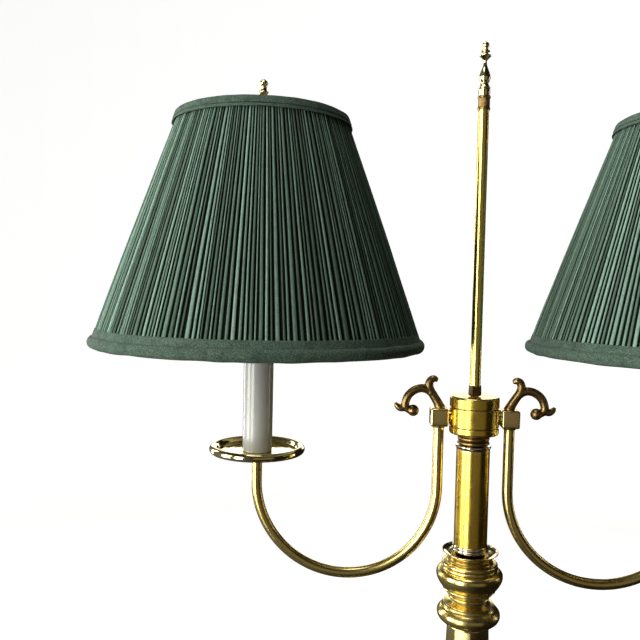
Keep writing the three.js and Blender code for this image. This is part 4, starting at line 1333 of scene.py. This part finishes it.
@dataclass
class Candle:
    """What stands on an arm: dish, sleeve, socket with its switch, bulb and harp."""

    side: Side
    rim: float = 0.0042  # radius of the dish's rolled edge
    tube_room: float = 0.0058  # radius of the holes round the arm's tube
    sleeve_wall: float = 0.0018
    wire: float = 0.0020
    # Bow of the harp: share of the way out from post to widest, share of the height.
    harp_share: tuple[Point, ...] = field(default=(
        (0.0, 0.0), (0.0, 0.05), (0.46, 0.16), (0.88, 0.30), (1.0, 0.48), (0.69, 0.70), (-0.03, 0.90),
        (-0.86, 0.99),
    ))

    def _put(self, form: Form, name: str, body: str, finish: Finish, node: str, crease: float = 38.0) -> None:
        """Turns a form drawn on the right-hand arm into this side's piece.

        Args:
            form: The form.
            name: The piece's name without its side.
            body: The body it rides on.
            finish: Its finish.
            node: The CAD node it stands for, without its side.
            crease: Edges sharper than this many degrees stay crisp.
        """
        end = self.side.value
        form.move(self.side.turn).piece(f"{name}_{end}", body, finish, f"{node}_{end}", crease=crease)

    def _dish(self, axis: Point) -> None:
        """Makes the drip dish."""
        room, sleeve = span("drip_dish_right"), span("candle_sleeve_right")
        s, wide = self.rim, room.radius
        level = room.head - s
        floor = sleeve.foot - 0.0002
        hub, neck = 0.0130, self.tube_room
        slope = wide - 2 * s  # radius where the rolled edge begins
        line = Outline((neck, room.foot), (hub - 0.003, room.foot))
        line.flow((hub, room.foot + 0.0014), (hub + 0.004, floor - 0.0026))
        line.flow((0.030, floor - 0.0024), (slope - 0.006, floor - 0.0016), (slope + 0.0012, level - 0.0024))
        line.arc((wide - s, level), (s, s), -125, 150, 18)
        line.to((slope - 0.0004, level + 0.0002)).flow(
            (slope - 0.0018, level - 0.0012), (slope - 0.0065, floor + 0.0008), (0.030, floor + 0.0001),
            (0.020, floor),
        )
        line.to((neck, floor))
        self._put(Form().turn(line, 112, soft=0.0003, axis=axis, longest=0.0025), "rolled_dish", "cluster",
                  Finish.POLISHED_BRASS, "drip_dish")

    def _sleeve(self, axis: Point) -> None:
        """Makes the candle sleeve."""
        room = span("candle_sleeve_right")
        inner = room.radius - self.sleeve_wall
        outer = room.radius
        line = Outline((inner, room.foot), (outer, room.foot), (outer, room.head), (inner, room.head))
        self._put(Form().turn(line, 80, soft=0.0006, axis=axis), "candle", "cluster", Finish.CANDLE_SLEEVE,
                  "candle_sleeve")

    def _socket(self, axis: Point) -> None:
        """Makes the brass shell of the lamp socket."""
        room = span("lamp_socket_right")
        z, w, top = room.foot, room.radius, room.head
        neck = self.tube_room
        line = Outline((neck, z), (0.0090, z), (0.0090, z + 0.0040)).flow(
            (0.0112, z + 0.0062), (w - 0.0016, z + 0.0100), (w - 0.0006, z + 0.0140)
        )
        line.arc((w - 0.0008, z + 0.0160), (0.0008, 0.0012), -80, 80, 6).to((w - 0.0008, z + 0.0190))
        line.arc((w - 0.0010, z + 0.0205), (0.0010, 0.0011), -80, 80, 6)
        line.to((w - 0.0008, z + 0.0222), (w - 0.0008, top - 0.0014))
        line.arc((w - 0.0008, top - 0.0008), (0.0008, 0.0008), -60, 120, 6)
        line.to((w - 0.0018, top - 0.0010), (w - 0.0018, z + 0.024), (neck, z + 0.024))
        self._put(Form().turn(line, 72, soft=0.0002, axis=axis), "socket_shell", "cluster",
                  Finish.POLISHED_BRASS, "lamp_socket")

    def _bulb(self, axis: Point) -> None:
        """Makes the frosted bulb."""
        room, socket = span("bulb_right"), span("lamp_socket_right")
        wide = room.radius
        level = room.head - wide
        neck = 0.0132
        line = Outline((0.0, room.foot), (neck - 0.004, room.foot), (neck, room.foot + 0.004))
        line.to((neck, socket.head + 0.002)).flow(
            (neck + 0.0012, socket.head + 0.008), (0.0195, level - 0.030), (wide - 0.0024, level - 0.0125),
            (wide, level), steps=8,
        )
        line.arc((0.0, level), (wide, wide), 6, 90, 14)
        line.points[-1] = (0.0, room.head)
        self._put(Form().turn(line, 72, bored=False, axis=axis), "bulb_opal", "cluster", Finish.BULB_GLASS,
                  "bulb", crease=60.0)

    def _switch(self) -> None:
        """Makes the socket's turn-knob, an oval key on a thin stem."""
        room = span("switch_key_right")
        level = room.centre.z
        stem_end = room.high.x - 0.0045
        path = [Vector((x, 0.0, level)) for x in (room.low.x, room.low.x + 0.002, stem_end)]
        form = Form().sweep(path, 0.0018, 20)
        thick, lip, tall = 0.0018, 0.0012, room.height / 2
        key = Outline((0.0, -thick), (tall - lip, -thick)).arc((tall - lip, 0.0), (lip, thick), -80, 80, 6)
        key.to((tall - lip, thick), (0.0, thick))
        place = Matrix.Translation((room.high.x - 0.0041, 0.0, level))
        narrow = Matrix.Diagonal((0.55, 1.0, 1.0, 1.0))
        blade = Form().turn(key, 48, bored=False, soft=0.0003)
        form.take(blade.move(place @ Matrix.Rotation(math.pi / 2, 4, "X") @ narrow))
        self._put(form, "turn_knob", f"switch_{self.side.value}", Finish.BLACK_PLASTIC, "switch_key")

    def _harp(self, axis: Point) -> None:
        """Makes the saddle and the wire bow that carries the shade."""
        saddle, bow = span("harp_saddle_right"), span("harp_right")
        x = axis[0]
        half = (saddle.high.y - saddle.low.y) / 2
        post = half - 0.0026
        plate = 0.0018
        size = (saddle.high.x - saddle.low.x, 2 * half, plate)
        form = Form().block(size, (x, 0.0, saddle.foot + plate / 2), 0.0006)
        for end in (-1, 1):
            pin = Outline((0.0, saddle.foot), (0.0026, saddle.foot), (0.0026, saddle.head - 0.001),
                          (0.0018, saddle.head), (0.0, saddle.head))
            form.take(Form().turn(pin, 28, bored=False, axis=(x, end * post)))
        self._put(form, "saddle", "cluster", Finish.POLISHED_BRASS, "harp_saddle")
        disc_height = 0.0020
        apex = bow.head - 0.0090 - disc_height
        rise = apex - bow.foot
        reach = bow.high.y - self.wire - post
        up = [(post + out * reach, bow.foot + share * rise) for out, share in self.harp_share]
        knots = [Vector((x, -y, z)) for y, z in up] + [Vector((x, 0.0, apex))] + [
            Vector((x, y, z)) for y, z in reversed(up)
        ]
        wire = Form().sweep(smooth_path(knots, 6), self.wire, 18)
        top = apex + disc_height
        disc = Outline((0.0, apex), (0.0065, apex), (0.0065, top), (0.0, top))
        stud = Outline((0.0, apex), (0.0031, apex), (0.0031, bow.head - 0.0006), (0.0025, bow.head))
        stud.to((0.0, bow.head))
        wire.take(Form().turn(disc, 36, bored=False, axis=axis))
        wire.take(Form().turn(stud, 28, bored=False, axis=axis, longest=0.0008))
        for end in (-1, 1):
            ferrule = Outline((0.0, 0.0), (0.0034, 0.0), (0.0034, 0.009), (0.0026, 0.011), (0.0, 0.011))
            wire.take(Form().turn(ferrule.lifted(bow.foot), 28, bored=False, axis=(x, end * post)))
        self._put(wire, "harp_bow", "cluster", Finish.POLISHED_BRASS, "harp")

    def build(self) -> None:
        """Makes everything that stands on the arm, below the shade."""
        centre = span("candle_sleeve_right").centre
        axis = (centre.x, 0.0)
        self._dish(axis)
        self._sleeve(axis)
        self._socket(axis)
        self._bulb(axis)
        self._switch()
        self._harp(axis)


# ---------------------------------------------------------------- shades


@dataclass
class Shade:
    """A pleated empire shade: gathered cover, tapes, padded roll, lining, wire frame and finial."""

    side: Side
    pleats: int = 204
    rows: int = 16
    depth: float = 0.0034  # crest above fold at the foot of the shade
    fold_inset: float = 0.0050  # depth of a fold's bottom under the shade's outermost surface
    cloth: float = 0.0004
    lining_inset: float = 0.0052
    hem: float = 0.003  # cloth and lining end this far inside the edges
    sway: float = 0.16  # how far a crest wanders along its pleat, as a share of the pleat's width
    pressed: float = 0.35  # how much the tapes flatten the pleats' ends
    flat: Point = (1.42, 0.262)  # the cotton's cut, before it was gathered
    roll_height: float = 0.0114
    bottom_tape: float = 0.0187  # height of roll and flat tape together
    top_tape: float = 0.0115
    top_strip: float = 0.0035
    wire: float = 0.0015
    wire_inset: float = 0.0071
    ring_inset: float = 0.004
    hub: float = 0.011
    stud: float = 0.009  # harp's stud above the shade's seat
    spokes: int = 3
    ribs: int = 6
    # Across one pleat: share of its width, share of its depth.
    pleat_shape: tuple[Point, ...] = field(default=(
        (0.00, 0.00), (0.13, 0.04), (0.22, 0.86), (0.30, 1.00), (0.50, 0.98), (0.66, 0.90), (0.74, 0.74),
        (0.84, 0.06),
    ))

    def __post_init__(self) -> None:
        """Reads the shade's place from the frame."""
        foot, top = span("shade_bottom_trim_right"), span("shade_top_trim_right")
        self.foot = foot.foot
        self.head = top.head
        self.wide = foot.radius
        self.slope = (top.radius - foot.radius) / (top.foot - foot.foot)
        self.axis = (span("candle_sleeve_right").centre.x, 0.0)
        self.body = f"shade_{self.side.value}"
        self.random = random.Random(11 if self.side is Side.LEFT else 29)

    def outer(self, height: float) -> float:
        """Radius of the shade's outermost surface at a height."""
        return self.wide + self.slope * (height - self.foot)

    def _put(self, form: Form, name: str, finish: Finish, *nodes: str, crease: float = 38.0,
             body: str | None = None) -> bpy.types.Object:
        """Turns a form drawn on the right-hand arm into this side's piece.

        Args:
            form: The form.
            name: The piece's name without its side.
            finish: Its finish.
            nodes: The CAD nodes it stands for, without their side.
            crease: Edges sharper than this many degrees stay crisp.
            body: The body it rides on, the shade's own if not given.

        Returns:
            The piece.
        """
        end = self.side.value
        form.move(self.side.turn)
        stands_for = [f"{node}_{end}" for node in nodes]
        return form.piece(f"{name}_{end}", body or self.body, finish, *stands_for, crease=crease)

    def _cover(self) -> bpy.types.Object:
        """Makes the pleated cover.

        Returns:
            The cover.
        """
        rng = self.random
        widths = [rng.lognormvariate(0.0, 0.26) for _ in range(self.pleats)]
        depths = [rng.uniform(0.62, 1.0) for _ in range(self.pleats)]
        tints = [rng.random() ** 1.6 for _ in range(self.pleats)]
        seeds = [rng.uniform(0.0, 80.0) for _ in range(self.pleats)]
        turn = 2 * math.pi / sum(widths)
        starts = [0.0]
        for width in widths:
            starts.append(starts[-1] + width * turn)
        form = Form()
        crest = form.bm.verts.layers.float.new("crest")
        tint = form.bm.verts.layers.float.new("tint")
        across_count = self.pleats * len(self.pleat_shape)
        bmesh.ops.create_grid(form.bm, x_segments=across_count, y_segments=self.rows, size=1.0)
        low, high = self.foot + self.hem, self.head - self.hem
        for v in form.bm.verts:
            column = round((v.co.x + 1) / 2 * across_count) % across_count
            share = (v.co.y + 1) / 2
            i, k = divmod(column, len(self.pleat_shape))
            across, up = self.pleat_shape[k]
            sway = self.sway * noise.noise((seeds[i], 2.6 * share, 0.3))
            swell = 1.0 + 0.25 * noise.noise((seeds[i], 3.1 * share, 7.7))
            press = 1.0 - self.pressed * abs(2 * share - 1) ** 3
            deep = self.depth * (1.0 - 0.30 * share) * depths[i] * press * swell
            angle = starts[i] + (starts[i + 1] - starts[i]) * (across + sway * math.sin(math.pi * across))
            z = low + (high - low) * share
            radius = self.outer(z) - self.fold_inset + deep * up
            v.co = (radius * math.cos(angle) + self.axis[0], radius * math.sin(angle), z)
            # Height in the pleat, which the cloth's finish turns into a painted highlight on the crest and
            # painted shade in the fold. The tint sets how much of the paler painted highlight a pleat gets.
            v[crest] = up * (0.55 + 0.45 * depths[i])
            v[tint] = tints[i]
        bmesh.ops.remove_doubles(form.bm, verts=form.bm.verts, dist=1e-7)
        cover = self._put(form, "pleated_cover", Finish.PLEATED_CLOTH, "shade_cover", crease=180.0)
        wall = cover.modifiers.new("cloth", "SOLIDIFY")
        wall.thickness = self.cloth
        wall.offset = -1.0
        return cover

    def _under(self, depth: float, *heights: float) -> list[Point]:
        """Points at a depth under the outermost surface, at those heights."""
        return [(self.outer(z) - depth, z) for z in heights]

    def _tapes(self) -> list[bpy.types.Object]:
        """Makes the tape over the top edge, the flat tape at the foot and the padded roll.

        Returns:
            The three pieces, the roll last.
        """
        top, head = self.head - self.top_tape, self.head
        strip = top + self.top_strip
        line = Outline(*self._under(0.0028, top), *self._under(0.0011, top, strip - 0.0005))
        line.to(*self._under(0.0019, strip), *self._under(0.0007, strip + 0.0006, head - 0.0012))
        line.to(*self._under(0.0022, head), *self._under(0.0048, head), *self._under(0.0062, head - 0.0014))
        line.to(*self._under(0.0060, top + 0.002), *self._under(0.0052, top + 0.002, head - 0.004))
        line.to(*self._under(0.0028, head - 0.004))
        form = Form().turn(line, 160, soft=0.0003, axis=self.axis, longest=0.0015).pucker(0.0004, 70.0)
        top_tape = self._put(form, "top_tape", Finish.TRIM_CLOTH, "shade_top_trim")
        rise = self.foot + self.roll_height
        end = self.foot + self.bottom_tape
        line = Outline(*self._under(0.0032, rise - 0.003), *self._under(0.0021, rise - 0.003, end))
        line.to(*self._under(0.0030, end))
        form = Form().turn(line, 200, soft=0.0003, axis=self.axis, longest=0.0015).pucker(0.0003, 60.0)
        bottom_tape = self._put(form, "bottom_tape", Finish.TRIM_CLOTH)
        half = self.roll_height / 2
        level = self.foot + half
        line = Outline().arc((self.outer(level) - 0.0040, level), (0.0046, half), 0, 345, 23)
        form = Form().turn(line, 260, soft=0.0, axis=self.axis, longest=0.0015).pucker(0.0007, 48.0)
        roll = self._put(form, "bottom_roll", Finish.TRIM_CLOTH, "shade_bottom_trim")
        return [top_tape, bottom_tape, roll]

    def _lining(self) -> bpy.types.Object:
        """Makes the pale lining behind the pleats.

        Returns:
            The lining.
        """
        low, high = self.foot + self.hem, self.head - self.hem
        depth = self.lining_inset
        line = Outline(*self._under(depth, low, high), *self._under(depth + 0.0003, high, low))
        form = Form().turn(line, 144, soft=0.0, axis=self.axis, longest=0.012)
        return self._put(form, "lining", Finish.LINING)

    def _wires(self) -> bpy.types.Object:
        """Makes the wire frame: hub, spokes, two rings and the ribs between them.

        Returns:
            The frame.
        """
        seat = span("harp_right").head - self.stud
        ring_high, ring_low = self.head - self.ring_inset, self.foot + self.ring_inset
        inset = self.wire_inset
        form = Form()
        hub = Outline((0.0034, 0.0003), (self.hub, 0.0003), (self.hub, 0.0023), (0.0034, 0.0023))
        form.turn(hub.lifted(seat), 48, axis=self.axis)
        for level in (ring_high, ring_low):
            line = Outline().arc((self.outer(level) - inset, level), (self.wire, self.wire), 0, 330, 11)
            form.turn(line, 120, soft=0.0, axis=self.axis)
        rim = (self.outer(ring_high) - inset, ring_high)
        at_hub = (self.hub - 0.002, seat + 0.0013)
        at_foot = (self.outer(ring_low) - inset, ring_low)
        for count, start in ((self.spokes, at_hub), (self.ribs, at_foot)):
            for i in range(count):
                turn = 2 * math.pi * (i + 0.25) / count
                near, far = (
                    Vector((self.axis[0] + r * math.cos(turn), r * math.sin(turn), z))
                    for r, z in (start, rim)
                )
                form.sweep([near, near.lerp(far, 0.5), far], self.wire - 0.0003, 12)
        return self._put(form, "wire_frame", Finish.POLISHED_BRASS, "shade_frame")

    def _finial(self) -> None:
        """Makes the small turned finial, which is screwed on the harp and so stays with the cluster."""
        room = span("shade_finial_right")
        w, h = room.radius, room.height
        line = Outline((0.0, 0.0), (0.94 * w, 0.0), (0.94 * w, 0.03 * h)).arc(
            (0.86 * w, 0.055 * h), (0.08 * w, 0.018 * h), -80, 80, 5
        )
        line.to((0.80 * w, 0.085 * h), (0.84 * w, 0.165 * h)).flow(
            (0.56 * w, 0.205 * h), (0.54 * w, 0.240 * h), (0.80 * w, 0.295 * h), (0.92 * w, 0.350 * h),
            (0.88 * w, 0.410 * h), (0.62 * w, 0.490 * h), (0.42 * w, 0.560 * h), (0.44 * w, 0.605 * h),
            (0.80 * w, 0.655 * h), (0.97 * w, 0.690 * h), steps=5,
        )
        line.arc((0.93 * w, 0.705 * h), (0.07 * w, 0.014 * h), -60, 90, 5).to((0.66 * w, 0.735 * h)).flow(
            (0.58 * w, 0.780 * h), (0.60 * w, 0.825 * h), (0.76 * w, 0.865 * h), (0.86 * w, 0.900 * h),
            (0.74 * w, 0.940 * h), (0.42 * w, 0.975 * h), (0.24 * w, 0.995 * h), (0.0, h), steps=5,
        )
        line = line.lifted(room.foot)
        form = Form().turn(line, 48, bored=False, soft=0.0002, axis=self.axis, longest=0.0012)
        self._put(form, "small_finial", Finish.POLISHED_BRASS, "shade_finial", body="cluster")

    def build(self) -> None:
        """Makes the shade."""
        wires = self._wires()
        lining = self._lining()
        tapes = self._tapes()
        cover = self._cover()
        self._finial()


# ---------------------------------------------------------------- studio


@dataclass(frozen=True)
class SoftLight:
    """A rectangular light that faces the middle of the lamp."""

    name: str
    place: tuple[float, float, float]
    size: Point
    power: float  # watts
    colour: Colour


@dataclass
class Studio:
    """A pale floor that rises into a backdrop, soft light from the left, and the camera."""

    floor_radius: float = 3.4
    wall_height: float = 5.0
    wall_bend: float = 1.6  # radius of the curve from floor to wall
    aim_height: float = 1.15  # height that the lights face
    lights: tuple[SoftLight, ...] = (
        SoftLight("window", (-2.4, -0.8, 1.3), (1.0, 2.4), 46.0, (1.0, 0.99, 0.96)),
        SoftLight("front_strip", (-1.65, -2.0, 1.2), (0.9, 2.7), 50.0, (1.0, 0.98, 0.93)),
        SoftLight("front_sheen", (0.9, -2.4, 1.2), (2.4, 2.4), 2.6, (1.0, 0.86, 0.62)),
        SoftLight("rear_panel", (-0.2, 2.4, 1.55), (2.2, 0.5), 8.0, (1.0, 0.99, 0.96)),
        SoftLight("rear_left", (-1.9, 1.15, 1.4), (0.35, 2.0), 16.0, (1.0, 0.99, 0.95)),
        SoftLight("overhead", (-0.5, -0.2, 3.1), (1.2, 1.0), 14.0, (1.0, 0.99, 0.96)),
        SoftLight("rear_edge", (2.3, 0.7, 1.4), (0.14, 1.8), 4.0, (1.0, 0.95, 0.86)),
    )
    eye: tuple[float, float, float] = (-0.116192, -0.749643, 0.108463)  # from the top of the head
    yaw: float = -0.0660154
    pitch: float = -0.0426884
    roll: float = 0.0218667
    lens: float = 39.598

    def _backdrop(self) -> None:
        """Makes the floor and the backdrop round it."""
        r = Recipe(bpy.data.materials.new("studio_paint"))
        grain = r.noise(40.0, 3.0)
        tone = r.mix(grain * 0.4, (0.86, 0.86, 0.85), (0.84, 0.84, 0.83))
        white = (1.0, 1.0, 1.0)
        paint = r.surface(Base_Color=tone, Roughness=0.9, Emission_Color=white, Emission_Strength=0.86)
        edge, bend = self.floor_radius, self.wall_bend
        floor = Outline((0.0, 0.0), (edge, 0.0))
        wall = Outline((edge, 0.0)).arc((edge, bend), (bend, bend), -90, 0, 16)
        wall.to((edge + bend, self.wall_height))
        for name, line in (("floor", floor), ("backdrop", wall)):
            bm = bmesh.new()
            verts = [bm.verts.new((x, 0.0, z)) for x, z in line.points]
            edges = [bm.edges.new(pair) for pair in pairwise(verts)]
            bmesh.ops.spin(
                bm, geom=verts + edges, cent=(0, 0, 0), axis=(0, 0, 1), angle=2 * math.pi, steps=96,
                use_merge=True,
            )
            bmesh.ops.remove_doubles(bm, verts=bm.verts, dist=1e-6)
            bmesh.ops.recalc_face_normals(bm, faces=bm.faces)
            mesh = bpy.data.meshes.new(name)
            bm.to_mesh(mesh)
            bm.free()
            mesh.materials.append(paint)
            obj = bpy.data.objects.new(name, mesh)
            bpy.context.scene.collection.objects.link(obj)
            obj.visible_glossy = False
            obj.visible_diffuse = False
            obj.visible_shadow = name == "floor"

    def _light(self, light: SoftLight) -> None:
        """Adds a light.

        Args:
            light: What it is and where it stands.
        """
        data = bpy.data.lights.new(light.name, "AREA")
        data.shape = "RECTANGLE"
        data.size, data.size_y = light.size
        data.energy = light.power
        data.color = light.colour
        obj = bpy.data.objects.new(light.name, data)
        bpy.context.scene.collection.objects.link(obj)
        obj.location = light.place
        obj.visible_camera = False
        ahead = Vector((0.0, 0.0, self.aim_height)) - Vector(light.place)
        obj.rotation_euler = ahead.to_track_quat("-Z", "Y").to_euler()

    def _world(self) -> None:
        """Fills the room with dim light that is brighter on the left."""
        world = bpy.data.worlds.new("room")
        bpy.context.scene.world = world
        r = Recipe(world)
        spot = r.node("ShaderNodeTexCoord", {}, {}, "Generated")
        east = r.node("ShaderNodeSeparateXYZ", {}, {"Vector": spot}, "X")
        colour = r.mix(east.fade(-1.0, 0.35), (0.26, 0.27, 0.26), (0.020, 0.016, 0.012))
        glow = r.node("ShaderNodeBackground", {}, {"Color": colour, "Strength": 0.6}, "Background")
        r.end("ShaderNodeOutputWorld", glow)

    def _camera(self) -> None:
        """Sets the camera in front of the lamp's head, a little to the left."""
        data = bpy.data.cameras.new("camera")
        data.lens = self.lens
        camera = bpy.data.objects.new("camera", data)
        bpy.context.scene.collection.objects.link(camera)
        head = span("cluster_top_cap").head
        aim = Matrix.Rotation(-self.yaw, 4, "Z") @ Matrix.Rotation(math.pi / 2 + self.pitch, 4, "X")
        place = Matrix.Translation(Vector(self.eye) + Vector((0.0, 0.0, head)))
        camera.matrix_world = place @ aim @ Matrix.Rotation(self.roll, 4, "Z")
        bpy.context.scene.camera = camera

    def build(self) -> None:
        """Makes the studio, shown with plain, uncompressed tones."""
        self._backdrop()
        self._world()
        for light in self.lights:
            self._light(light)
        bpy.context.scene.view_settings.view_transform = "Standard"
        self._camera()


def dress_cad() -> None:
    """Gives each CAD node that still shows its finish."""
    for part in frame["record"]["subparts"]:
        obj = frame["nodes"].get(part["node"])
        if obj is None or obj.hide_render:
            continue
        finish = Finish[part["material_slot"].upper()]
        obj.data.materials.clear()
        obj.data.materials.append(finish.material)
        LOG.info("%s keeps its CAD shape in %s", obj.name, finish.slot)


def main() -> None:
    """Builds the lamp and the studio round it."""
    logging.basicConfig(level=logging.INFO, format="%(message)s")
    Base().build()
    Column().build()
    Cluster().build()
    for side in Side:
        Arm(side).build()
        Candle(side).build()
        Shade(side).build()
    dress_cad()
    Studio().build()


if __name__ == "__main__":
    main()
